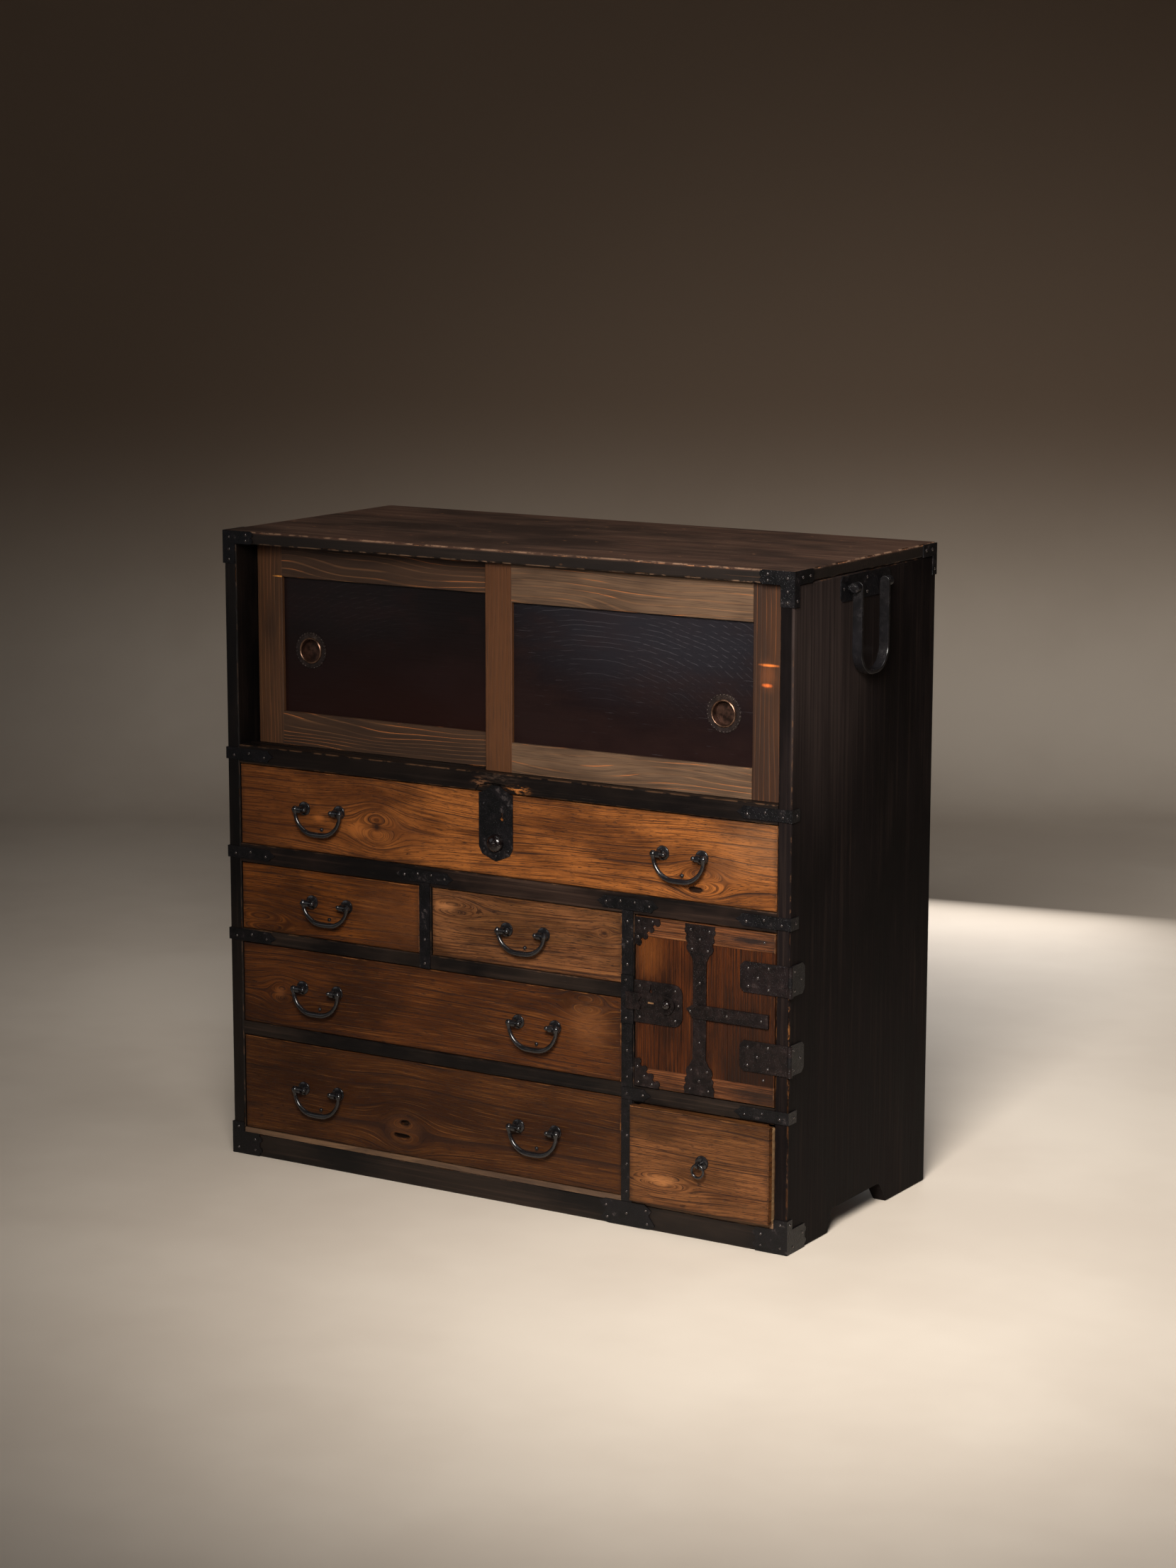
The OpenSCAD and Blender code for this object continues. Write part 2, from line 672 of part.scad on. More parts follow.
module divider_strip(x0, x1, z0, z1) front_plate(0, iron_t)
    translate([x0 + 1, z0]) square([x1 - x0 - 2, z1 - z0]);

// The strike plate lies behind the safe lock's catch
module strike_plate() front_plate(0, iron_t)
    translate([divider_x0, safe_lock_mid - strike_half]) square([divider_t, 2 * strike_half]);

module plinth_plate() front_plate(0, iron_t) {
    x = (divider_x0 + divider_x1) / 2;
    h = plinth_plate_h;
    polygon([[x - 42, h - 4], [x - 34, h], [x + 28, h], [x + 38, h - 8], [x + 34, h - 15],
             [x + 44, 6], [x + 34, 1], [x - 30, 1], [x - 40, 8], [x - 33, 16]]);
}

upper_strap_z = upper_rail_z + upper_rail_h / 2;
sill_strap_z = sill_z + sill_h / 2;
safe_strap_z = safe_rail_z + safe_rail_h / 2;
mid_strap_z = mid_rail_z + thin_rail_h / 2;
divider_mid = (divider_x0 + divider_x1) / 2;
small_div_mid = (small_div_x0 + small_div_x1) / 2;
strap_half = strap_h / 2;
left_straps = [sill_strap_z, upper_strap_z, mid_strap_z];
right_straps = [sill_strap_z, upper_strap_z, safe_strap_z];
strip_z0 = plinth_plate_h + strip_gap;
strip_z1 = safe_strap_z - strap_half - strip_gap;
strip_z2 = safe_strap_z + strap_half + strip_gap;
strip_z3 = safe_lock_mid - strike_half - strip_gap;
strip_z4 = safe_lock_mid + strike_half + strip_gap;
strip_z5 = upper_strap_z - strap_half - strip_gap;

module carcass_irons() color(iron) place() difference() {
    carcass_iron_plates();
    carcass_nail_set($hole = true);
}

module carcass_iron_plates() {
    for (z = left_straps) corner_strap(false, z);
    for (z = right_straps) corner_strap(true, z);
    for (right = [false, true]) {
        for (top = [false, true]) corner_iron(right, top);
        back_iron(right);
    }
    divider_strap(small_div_mid, upper_strap_z);
    divider_strap(divider_mid, upper_strap_z);
    front_plate(0, iron_t)
        strap_shape(divider_x0 + 1, divider_x0 + 46, safe_strap_z, false, true);
    divider_strip(small_div_x0, small_div_x1, small_z - thin_rail_h, strip_z5);
    divider_strip(divider_x0, divider_x1, strip_z0, strip_z1);
    divider_strip(divider_x0, divider_x1, strip_z2, strip_z3);
    divider_strip(divider_x0, divider_x1, strip_z4, strip_z5);
    strike_plate();
    plinth_plate();
}

module carcass_nails() color(iron) place() {
    carcass_nail_set();
    side_nail_set();
}

// Heights of the nails along a strip, from their shares of its length
function along(z0, z1, shares) = [for (s = shares) z0 + s * (z1 - z0)];

module carcass_nail_set() {
    face = -iron_t;
    for (z = left_straps) {
        for (x = [12, 38, 64]) nail(x, face, z + (x == 38 ? 2 : -2));
        side_nail(false, 12, z);
    }
    for (z = right_straps) {
        for (x = [12, 38, 64]) nail(case_w - x, face, z + (x == 38 ? 2 : -2));
        side_nail(true, 12, z);
    }
    for (x = [-33, -11, 11, 33]) {
        nail(small_div_mid + x, face, upper_strap_z + (abs(x) > 20 ? 0 : 3));
        nail(divider_mid + x, face, upper_strap_z + (abs(x) > 20 ? 0 : 3));
    }
    for (z = along(small_z - thin_rail_h, strip_z5, [0.06, 0.34, 0.68]))
        nail(small_div_mid, face, z);
    for (z = concat(along(strip_z0, strip_z1, [0.1, 0.37, 0.65]),
                    along(strip_z2, strip_z3, [0.16, 0.58]),
                    along(strip_z4, strip_z5, [0.16, 0.51, 0.83]))) nail(divider_mid, face, z);
    for (z = [7 - strike_half, strike_half - 7]) nail(divider_mid - 2, face, safe_lock_mid + z);
    for (p = [[-32, 25], [-30, 9], [0, 18], [30, 26], [32, 8]])
        nail(divider_mid + p[0], face, p[1]);
    for (x = [9, 34]) nail(divider_x0 + x, face, safe_strap_z);
    for (right = [false, true]) {
        s = right ? -1 : 1;
        ex = right ? case_w : 0;
        for (p = [[9, 9], [38, 5], [38, 13], [9, 26], [9, 40]])
            nail(ex + s * p[0], face, case_h - p[1]);
        for (p = [[9, 9], [38, 9], [38, 24], [9, 40]]) nail(ex + s * p[0], face, p[1]);
        for (p = [[20, 9], [40, 9], [6, 38]]) side_nail(right, p[0], case_h - p[1]);
        for (p = [[14, 9], [40, 22], [6, 40]]) side_nail(right, p[0], p[1]);
        for (p = [[14, 9], [32, 9], [6, 36]]) side_nail(right, case_d - p[0], case_h - p[1]);
    }
}

// Side irons: the plate and eyes of each handle, and the fixed leaves of the safe door's hinges
pivot_z = case_h - handle_pivot_drop;
band_mid = handle_gap + handle_band_w / 2;
plate_mid_z = top_z - 1.5 - handle_plate_h / 2;

module side_nail_set() {
    for (right = [false, true]) {
        for (s = [-1, 1]) side_nail(right, handle_d + s * (handle_plate_l / 2 - 8), plate_mid_z);
        for (s = [-1, 1]) side_nail(right, handle_d + 3, plate_mid_z + s * (handle_plate_h / 2 - 7));
    }
    for (z = [safe_z + upper_hinge_z, safe_z + lower_hinge_z])
        for (p = [[10, 13], [10, -13], [28, 0]]) side_nail(true, p[0], z + p[1]);
}

module handle_base(right) {
    chamfer = 5;
    y0 = handle_d - handle_plate_l / 2;
    y1 = y0 + handle_plate_l;
    z1 = top_z - 1.5;
    z0 = z1 - handle_plate_h;
    side_plate(right, iron_t) polygon([
        [y0, z0 + chamfer], [y0 + chamfer, z0], [y1 - chamfer, z0], [y1, z0 + chamfer],
        [y1, z1 - chamfer], [y1 - chamfer, z1], [y0 + chamfer, z1], [y0, z1 - chamfer]]);
    s = right ? 1 : -1;
    face = right ? case_w : 0;
    for (side = [-1, 1]) {
        y = handle_d + side * (handle_w / 2 + joint_gap);
        ya = min(y, y + side * handle_eye_l);
        difference() {
            union() {
                translate([face + s * band_mid, ya, pivot_z]) rotate([-90, 0, 0])
                    cylinder(h = handle_eye_l, r = handle_eye_r);
                board(min(face, face + s * band_mid), max(face, face + s * band_mid),
                      ya, ya + handle_eye_l, pivot_z - 3, pivot_z + 3);
            }
            translate([face + s * band_mid, ya - cut, pivot_z]) rotate([-90, 0, 0])
                cylinder(h = handle_eye_l + 2 * cut, r = handle_pin_r + pin_fit);
        }
    }
}

// The fixed leaf carries the pin in its middle knuckle
module hinge_side_leaf(z) {
    third = hinge_h / 3;
    chamfer = 6;
    side_plate(true, iron_t) polygon([
        [-0.4, z - third / 2 + pin_fit], [-0.4, z + third / 2 - pin_fit],
        [0.6, z + third / 2 - pin_fit], [0.6, z + hinge_h / 2],
        [hinge_side_l - chamfer, z + hinge_h / 2], [hinge_side_l, z + hinge_h / 2 - chamfer],
        [hinge_side_l, z - hinge_h / 2 + chamfer], [hinge_side_l - chamfer, z - hinge_h / 2],
        [0.6, z - hinge_h / 2], [0.6, z - third / 2 + pin_fit]]);
    translate([hinge_x, hinge_y, z - third / 2 + 0.15]) cylinder(h = third - 0.3, r = knuckle_r);
    translate([hinge_x, hinge_y, z - hinge_h / 2]) cylinder(h = hinge_h, r = hinge_pin_r);
}

module side_irons() color(iron) place() difference() {
    union() {
        handle_base(false);
        handle_base(true);
        hinge_side_leaf(safe_z + upper_hinge_z);
        hinge_side_leaf(safe_z + lower_hinge_z);
    }
    side_nail_set($hole = true);
}

// A side handle is a flat band bent to a U, with round leg ends that carry the pins
module side_handle(right) {
    s = right ? 1 : -1;
    face = right ? case_w : 0;
    bend = 34;
    half = handle_w / 2;
    t = handle_band_t;
    pin_l = handle_eye_l + joint_gap + 2;
    xa = min(face + s * handle_gap, face + s * (handle_gap + handle_band_w));
    translate([xa, handle_d, pivot_z]) rotate([90, 0, 90]) linear_extrude(handle_band_w) difference() {
        polygon(concat([[half, 0], [-half, 0]],
            arc(-half + bend, bend - handle_drop, bend, 180, 270, 14),
            arc(half - bend, bend - handle_drop, bend, 270, 360, 14)));
        polygon(concat([[half - t, cut], [t - half, cut]],
            arc(-half + bend, bend - handle_drop, bend - t, 180, 270, 14),
            arc(half - bend, bend - handle_drop, bend - t, 270, 360, 14)));
    }
    for (side = [-1, 1]) {
        leg_y = side > 0 ? handle_d + half - t : handle_d - half;
        pin_y = side > 0 ? handle_d + half - t / 2 : handle_d - half - pin_l;
        translate([face + s * band_mid, leg_y, pivot_z]) rotate([-90, 0, 0])
            cylinder(h = t, r = handle_band_w / 2);
        translate([face + s * band_mid, pin_y, pivot_z]) rotate([-90, 0, 0])
            cylinder(h = pin_l + t / 2, r = handle_pin_r);
    }
}

module side_handle_left() color(iron) place() side_handle(false);

module side_handle_right() color(iron) place() side_handle(true);

// Sliding doors
module door_bar(x0, x1, y, z0, z1) board(x0, x1, y, y + door_t, z0, z1);

module door_tongue(x0, x1, y) {
    ty = y + (door_t - tongue_t) / 2;
    board(x0, x1, ty, ty + tongue_t, door_open_z - sill_groove + runner_gap, door_z0 + cut);
    board(x0, x1, ty, ty + tongue_t, door_z1 - cut, top_z + head_groove - sill_groove + door_fit);
}

module door_frame(x, y, head_h, foot_h) {
    rail_tenon = 18;
    tenon_y = y + door_t - 6;
    tenon_in = 8;
    x_in0 = x + stile_w;
    x_in1 = x + door_w - stile_w;
    panel_y = y + panel_recess - joint_fit;
    groove_d = 5;
    module panel_groove()
        board(x_in0 - groove_d, x_in1 + groove_d, panel_y, panel_y + panel_t + 2 * joint_fit,
              door_z0 + foot_h - groove_d, door_z1 - head_h + groove_d);
    module rail_tenons(z0, z1, fit)
        board(x_in0 - rail_tenon - fit, x_in1 + rail_tenon + fit, tenon_y - 5 - fit,
              tenon_y + fit, z0 + tenon_in - fit, z1 - tenon_in + fit);
    foot_z1 = door_z0 + foot_h;
    head_z0 = door_z1 - head_h;
    for (xs = [x, x_in1]) difference() {
        union() {
            door_bar(xs, xs + stile_w, y, door_z0, door_z1);
            door_tongue(xs, xs + stile_w, y);
        }
        panel_groove();
        rail_tenons(door_z0, foot_z1, joint_fit);
        rail_tenons(head_z0, door_z1, joint_fit);
    }
    for (zz = [[door_z0, foot_z1], [head_z0, door_z1]]) difference() {
        union() {
            door_bar(x_in0 + glue_gap, x_in1 - glue_gap, y, zz[0], zz[1]);
            rail_tenons(zz[0], zz[1], 0);
            intersection() {
                door_tongue(x_in0 + glue_gap, x_in1 - glue_gap, y);
                door_bar(x, x + door_w, y, zz[0] - head_groove, zz[1] + head_groove);
            }
        }
        panel_groove();
    }
}

module door_panel(x, y, head_h, foot_h, pull_x, pull_z) {
    lip = 5 - joint_fit * 2;
    difference() {
        board(x + stile_w - lip, x + door_w - stile_w + lip,
              y + panel_recess, y + panel_recess + panel_t,
              door_z0 + foot_h - lip, door_z1 - head_h + lip);
        translate([pull_x, y + panel_recess - cut, pull_z]) rotate([-90, 0, 0])
            cylinder(h = panel_t + 2 * cut, r = pull_cup_r + pull_cup_wall + joint_fit);
    }
}

// A pull is a scalloped washer with a raised cup set through it and the panel
module door_pull(x, y, z) translate([x, y + panel_recess, z]) rotate([90, 0, 0]) {
    wall_r = pull_cup_r + pull_cup_wall;
    n = pull_scallops * 6;
    linear_extrude(pull_washer_t) difference() {
        polygon([for (i = [0:n - 1])
            let (r = pull_washer_r - 1.2 + 1.2 * abs(sin(180 * i / 6)))
            [r * cos(360 * i / n), r * sin(360 * i / n)]]);
        circle(wall_r + joint_fit);
    }
    rim_z = pull_washer_t + glue_gap;
    rotate_extrude() polygon([
        [0, -pull_cup_d], [wall_r - 1, -pull_cup_d], [wall_r, 1 - pull_cup_d], [wall_r, rim_z],
        [pull_ring_r, rim_z], [pull_ring_r - 0.4, rim_z + 1.6], [pull_ring_r - 1.6, rim_z + 2.4],
        [pull_cup_r + 0.6, rim_z + 1.8], [pull_cup_r, rim_z], [pull_cup_r, 1 - pull_cup_d],
        [0, 1 - pull_cup_d]]);
}

door_mid_z = (door_z0 + door_z1) / 2;
left_pull_x = left_door_x + pull_inset;
right_pull_x = right_door_x + door_w - pull_inset;
left_pull_z = door_mid_z + left_pull_rise;
right_pull_z = door_mid_z + right_pull_rise;

module left_door_frame() color(wood_frame) place()
    door_frame(left_door_x, rear_door_y, left_head_h, left_foot_h);

module left_door_panel() color(wood_panel) place()
    door_panel(left_door_x, rear_door_y, left_head_h, left_foot_h, left_pull_x, left_pull_z);

module left_door_pull() color(bronze) place() door_pull(left_pull_x, rear_door_y, left_pull_z);

module right_door_frame() color(wood_frame) place()
    door_frame(right_door_x, front_door_y, right_head_h, right_foot_h);

module right_door_panel() color(wood_panel) place()
    door_panel(right_door_x, front_door_y, right_head_h, right_foot_h, right_pull_x, right_pull_z);

module right_door_pull() color(bronze) place() door_pull(right_pull_x, front_door_y, right_pull_z);

// Safe door: upright boards between two battens, with iron straps, hinges and a lock
module safe_door_panel() color(wood_safe) place() {
    y0 = safe_face + safe_panel_back;
    y1 = safe_face + safe_t - safe_panel_back;
    pitch = (safe_x1 - safe_x0) / safe_boards_n;
    difference() {
        union() for (i = [0:safe_boards_n - 1]) {
            x0 = safe_x0 + i * pitch;
            x1 = safe_x0 + (i + 1) * pitch - (i < safe_boards_n - 1 ? glue_gap : 0);
            board(x0, x1, y0, y1, safe_z0 + batten_h, safe_z1 - batten_h);
            board(x0, x1, y0 + 5, y1 - 5, safe_z0 + batten_h - 8, safe_z1 - batten_h + 8);
        }
        board(safe_x0 - cut, safe_lock_in, safe_bolt_y - lock_fit, safe_bolt_y + bolt_t + lock_fit,
              safe_lock_mid - bolt_w / 2 - lock_fit, safe_lock_mid + bolt_w / 2 + lock_fit);
        translate([safe_button_x, -cut * 2, safe_lock_mid]) rotate([-90, 0, 0])
            cylinder(h = cut * 2 + button_pocket, r = safe_button_r + lock_fit);
    }
}

module safe_door_battens() color(wood_safe) place() difference() {
    for (z = [safe_z0, safe_z1 - batten_h])
        board(safe_x0, safe_x1, safe_face, safe_face + safe_t, z, z + batten_h);
    board(safe_x0 - cut, safe_x1 + cut, safe_face + safe_panel_back + 5 - joint_fit,
          safe_face + safe_t - safe_panel_back - 5 + joint_fit,
          safe_z0 + batten_h - 8 - joint_fit, safe_z1 - batten_h + 8 + joint_fit);
}

// The strap's ends flare to three pairs of round lobes
module safe_strap_shape() {
    shaft = 20;
    flare = 45;
    taper = 34;
    end_l = 46;
    z0 = safe_z0 + 1;
    z1 = safe_z1 - 1;
    translate([safe_mid_x - shaft / 2, z0 + end_l / 2]) square([shaft, z1 - z0 - end_l]);
    for (s = [-1, 1]) translate([safe_mid_x, s > 0 ? z1 : z0]) mirror([0, s > 0 ? 1 : 0]) {
        polygon([[-flare / 2, 0], [flare / 2, 0], [taper / 2, end_l - lobe_r],
                 [shaft / 2, end_l + 2], [-shaft / 2, end_l + 2], [-taper / 2, end_l - lobe_r]]);
        for (k = [-1, 1]) {
            translate([k * (flare / 2 - 5), 8]) circle(5.5);
            translate([k * (flare / 2 - 6.5), 19]) circle(5.5);
            translate([k * (taper / 2 - 5), end_l - 15]) circle(lobe_r * 0.72);
        }
    }
}

// Scalloped triangle that guards a corner of the safe door
module safe_corner_shape(top) {
    a = 38;
    scallops = 4;
    lobe = 4.2;
    translate([safe_x0 + 0.5, top ? safe_z1 - 0.5 : safe_z0 + 0.5]) mirror([0, top ? 1 : 0]) {
        polygon([[0, 0], [a, 0], [0, a]]);
        for (i = [0:scallops - 1])
            translate([a * (i + 0.6) / scallops, a * (1 - (i + 0.4) / scallops)]) circle(lobe);
    }
}

module hinge_door_leaf(z) {
    third = hinge_h / 3;
    chamfer = 6;
    x0 = case_w - hinge_l;
    bore_r = hinge_pin_r + pin_fit;
    front_plate(safe_face, iron_t) difference() {
        polygon([[x0, z - hinge_h / 2 + chamfer], [x0 + chamfer, z - hinge_h / 2],
                 [hinge_x, z - hinge_h / 2], [hinge_x, z + hinge_h / 2],
                 [x0 + chamfer, z + hinge_h / 2], [x0, z + hinge_h / 2 - chamfer]]);
        translate([hinge_x - knuckle_r - 0.5, z - third / 2]) square([knuckle_r + 2, third]);
        translate([hinge_x - bore_r, z - hinge_h / 2 - cut])
            square([bore_r + cut, hinge_h + 2 * cut]);
    }
    for (s = [-1, 1]) {
        za = s > 0 ? z + third / 2 : z - hinge_h / 2;
        translate([hinge_x, hinge_y, za]) difference() {
            cylinder(h = third, r = knuckle_r);
            translate([0, 0, -cut]) cylinder(h = third + 2 * cut, r = bore_r);
        }
    }
}

module safe_door_irons() color(iron) place() difference() {
    union() {
        front_plate(safe_face, iron_t) safe_strap_shape();
        front_plate(safe_panel_y, safe_bar_t) {
            polygon([[safe_bar_x0, safe_bar_z + 3], [safe_bar_x0 + 10, safe_bar_z - safe_bar_half],
                     [safe_bar_x1, safe_bar_z - safe_bar_half],
                     [safe_bar_x1, safe_bar_z + safe_bar_half],
                     [safe_bar_x0 + 10, safe_bar_z + safe_bar_half]]);
        }
        for (top = [false, true]) front_plate(safe_face, iron_t) safe_corner_shape(top);
        hinge_door_leaf(safe_z + upper_hinge_z);
        hinge_door_leaf(safe_z + lower_hinge_z);
    }
    safe_nail_set($hole = true);
}

module safe_door_nails() color(iron) place() safe_nail_set();

module safe_nail_set() {
    face = safe_face - iron_t;
    for (z = [safe_z + upper_hinge_z, safe_z + lower_hinge_z])
        for (p = [[-60, 12], [-60, -12], [-46, 0], [-30, 14], [-30, -14]])
            nail(case_w + p[0], face, z + p[1]);
    for (p = [[-14, 8], [14, 8], [0, 20], [-12, 34], [12, 34]]) {
        nail(safe_mid_x + p[0], face, safe_z1 - p[1]);
        nail(safe_mid_x + p[0], face, safe_z0 + p[1]);
    }
    for (z = [-44, 36]) nail(safe_mid_x, face, safe_lock_mid + z);
    for (x = [safe_bar_x0 + 6, (safe_bar_x0 + safe_bar_x1) / 2, safe_bar_x1 - 10])
        nail(x, safe_panel_y - safe_bar_t, safe_bar_z);
    for (p = [[6, 6], [27, 5], [5, 27], [15, 15]]) {
        nail(safe_x0 + p[0], face, safe_z1 - p[1]);
        nail(safe_x0 + p[0], face, safe_z0 + p[1]);
    }
    for (p = [[8, 21], [8, -21], [safe_lock_w - 11, 20], [safe_lock_w - 11, -20],
              [safe_lock_w - 6, 1]])
        nail(safe_x0 + p[0], safe_panel_y - lock_plate_t, safe_lock_mid + p[1]);
    nail(safe_x1 - 16, safe_panel_y, safe_z0 + batten_h + 8);
    nail(safe_x1 - 16, safe_face, safe_z1 - 13);
}

safe_panel_y = safe_face + safe_panel_back;
safe_bar_z = safe_lock_mid - 2.5;
lock_x = (inner_x0 + inner_x1) / 2;
long_bolt_y = drawer_setback + lock_fit;
safe_bolt_y = 5;
safe_lock_in = safe_x0 + 36;
safe_button_x = safe_x0 + 49;
safe_bar_x0 = safe_x0 + safe_lock_w + safe_bar_gap;
safe_bar_x1 = safe_x1 - safe_bar_end;
button_pocket = button_travel + 2;

module keyhole(x, z) {
    translate([x, z]) circle(key_w, $fn = 20);
    translate([x - key_w / 4, z]) square([key_w / 2, 9]);
}

// The safe's lock plate, with a ridge round its button and a catch that laps the strike plate
module safe_lock_plate() color(iron) place() {
    z0 = safe_lock_mid - safe_lock_h / 2;
    z1 = z0 + safe_lock_h;
    x0 = safe_x0;
    x1 = safe_x0 + safe_lock_w;
    clip = 14;
    ridge_y = safe_panel_y - lock_plate_t;
    catch_h = 23;
    catch_l = 10;
    difference() {
        union() {
            front_plate(safe_panel_y, lock_plate_t) polygon(concat([[x0, z0], [x1 - clip, z0]],
                arc(x1 - clip, z0 + clip, clip, -70, 0, 6),
                arc(x1 - clip, z1 - clip, clip, 0, 70, 6), [[x1 - clip, z1], [x0, z1]]));
            front_plate(ridge_y, 3) translate([safe_button_x, safe_lock_mid]) difference() {
                circle(safe_button_r + 7);
                circle(safe_button_r + 3.5);
                translate([-20 - safe_button_r * 0.4, -20]) square([20, 40]);
            }
            front_plate(ridge_y, 3) translate([0, safe_lock_mid]) polygon([
                [divider_x1 - catch_l, -catch_h / 2], [x0 + 9, -catch_h / 2], [x0 + 11, -6],
                [x0 + 7, 0], [x0 + 11, 6], [x0 + 9, catch_h / 2],
                [divider_x1 - catch_l, catch_h / 2]]);
        }
        front_plate(safe_panel_y + cut, lock_plate_t + 2 * cut) {
            translate([safe_button_x, safe_lock_mid]) circle(safe_button_r + lock_fit);
            keyhole(safe_x0 + 25, safe_lock_mid + 15);
        }
        safe_nail_set($hole = true);
    }
}

module safe_lock_bolt() color(iron) place()
    board(safe_x0 + 0.5, safe_lock_in - bolt_travel / 2, safe_bolt_y, safe_bolt_y + bolt_t,
          safe_lock_mid - bolt_w / 2, safe_lock_mid + bolt_w / 2);

// A button is a round shank with a domed head and a small nipple
module lock_button(x, y, z, r, shank) translate([x, y, z]) rotate([90, 0, 0])
    rotate_extrude() polygon([[0, -shank], [r, -shank], [r, 1.5], [r * 0.92, r * 0.28 + 1.5],
        [r * 0.68, r * 0.5 + 1.5], [r * 0.3, r * 0.6 + 1.5], [r * 0.24, r * 0.74 + 1.5],
        [0, r * 0.78 + 1.5]]);

module safe_lock_button() color(iron) place()
    lock_button(safe_button_x, safe_panel_y - lock_plate_t, safe_lock_mid, safe_button_r,
                lock_plate_t + 0.6);

// Drawers: o holds the opening, p the distance that the drawer stands out
function pivot_height(o) = (o[2] + o[3]) / 2 + bail_rise;

module post_holes(o, p, xs) {
    for (x = xs) translate([x, drawer_setback - p - cut, pivot_height(o)]) rotate([-90, 0, 0])
        cylinder(h = front_t + 2 * cut, r = shank_r + joint_fit, $fn = 24);
}

module drawer_front(o, p, xs) {
    x0 = o[0] + drawer_gap;
    x1 = o[1] - drawer_gap;
    y0 = drawer_setback - p;
    z0 = o[2] + runner_gap;
    z1 = o[3] - drawer_top_gap;
    lap_y = y0 + front_t - front_lap;
    difference() {
        board(x0, x1, y0, y0 + front_t, z0, z1);
        board(x0 - cut, x0 + drawer_side_t, lap_y, y0 + front_t + cut, z0 - cut, z1 + cut);
        board(x1 - drawer_side_t, x1 + cut, lap_y, y0 + front_t + cut, z0 - cut, z1 + cut);
        board(x0 - cut, x1 + cut, lap_y, y0 + front_t + cut, z0 - cut, z0 + drawer_bottom_t);
        post_holes(o, p, xs);
    }
}

// Sides, back and bottom, parted by the thickness of their glue
module drawer_box(o, p) {
    x0 = o[0] + drawer_gap;
    x1 = o[1] - drawer_gap;
    y0 = drawer_setback - p + front_t - front_lap;
    y1 = drawer_setback - p + drawer_l;
    z0 = o[2] + runner_gap;
    z1 = o[3] - drawer_top_gap - drawer_side_drop;
    zb = z0 + drawer_bottom_t;
    board(x0, x1, y0, y1, z0, zb);
    board(x0, x0 + drawer_side_t, y0, y1, zb + glue_gap, z1);
    board(x1 - drawer_side_t, x1, y0, y1, zb + glue_gap, z1);
    board(x0 + drawer_side_t + glue_gap, x1 - drawer_side_t - glue_gap, y1 - drawer_side_t, y1,
          zb + glue_gap, z1 - drawer_side_drop);
}

// A post is an eye on a shank that passes the front and is clenched over a washer inside
module post(x, y, z, w, bore_r) translate([x, y, z]) {
    inside = front_t + glue_gap;
    clench = inside + washer_h + glue_gap;
    shank_y = bore_r + 1 - bail_standoff;
    difference() {
        union() {
            translate([-w / 2, -bail_standoff, 0]) rotate([0, 90, 0]) cylinder(h = w, r = eye_r);
            translate([0, shank_y, 0]) rotate([-90, 0, 0])
                cylinder(h = clench + 1 - shank_y, r = shank_r, $fn = 24);
        }
        translate([-w, -bail_standoff, 0]) rotate([0, 90, 0]) cylinder(h = 2 * w, r = bore_r);
    }
    rotate([90, 0, 0]) rotate_extrude($fn = 32) polygon([
        [shank_r + glue_gap, 0], [rosette_r, 0], [rosette_r - 0.6, rosette_t * 0.6],
        [rosette_r * 0.6, rosette_t], [shank_r + glue_gap, rosette_t]]);
    translate([0, inside + washer_h, 0]) rotate([90, 0, 0]) difference() {
        cylinder(h = washer_h, r = washer_r, $fn = 24);
        translate([0, 0, -cut]) cylinder(h = washer_h + 2 * cut, r = shank_r + glue_gap, $fn = 24);
    }
    translate([0, clench, 0]) rotate([-90, 0, 0]) cylinder(h = washer_h, r = clench_r, $fn = 24);
}

// The stud that the grip of a bail knocks against
module stud(x, y, z) translate([x, y, z]) rotate([90, 0, 0]) rotate_extrude($fn = 20) polygon([
    [0, -nail_l], [nail_r, -nail_l], [nail_r, 0], [stud_r, 0], [stud_r * 0.93, stud_r * 0.57],
    [stud_r * 0.57, stud_r], [0, stud_r * 1.14]]);

module bail_posts(o, p, cx, drop) {
    y = drawer_setback - p;
    for (s = [-1, 1])
        post(cx + s * bail_half, y, pivot_height(o), eye_w, bail_pin_r + pin_fit);
    stud(cx, y, pivot_height(o) - drop + stud_rise);
}

// A bail hangs from its pins: bead, pin, ball, arm, bend and a grip that swells to its middle
module bail(o, p, cx, drop) translate([cx, drawer_setback - p - bail_standoff, pivot_height(o)]) {
    flat = arm_x - bail_corner_r;
    bead_x = bail_half - eye_w / 2 - joint_gap - bead_r;
    for (s = [-1, 1]) mirror([s > 0 ? 0 : 1, 0, 0]) {
        translate([arm_x, 0, 0]) sphere(arm_ball_r);
        translate([bead_x, 0, 0]) rotate([0, 90, 0]) cylinder(h = arm_x - bead_x, r = bail_pin_r);
        translate([bead_x, 0, 0]) sphere(bead_r);
        translate([arm_x, 0, bail_corner_r - drop]) cylinder(h = drop - bail_corner_r, r = bail_r);
        translate([flat, 0, bail_corner_r - drop]) rotate([90, 0, 0]) rotate([0, 0, -90])
            rotate_extrude(angle = 90) translate([bail_corner_r, 0]) circle(bail_r);
        translate([0, 0, -drop]) rotate([0, 90, 0])
            cylinder(h = flat, r1 = bail_grip_r, r2 = bail_r);
    }
}

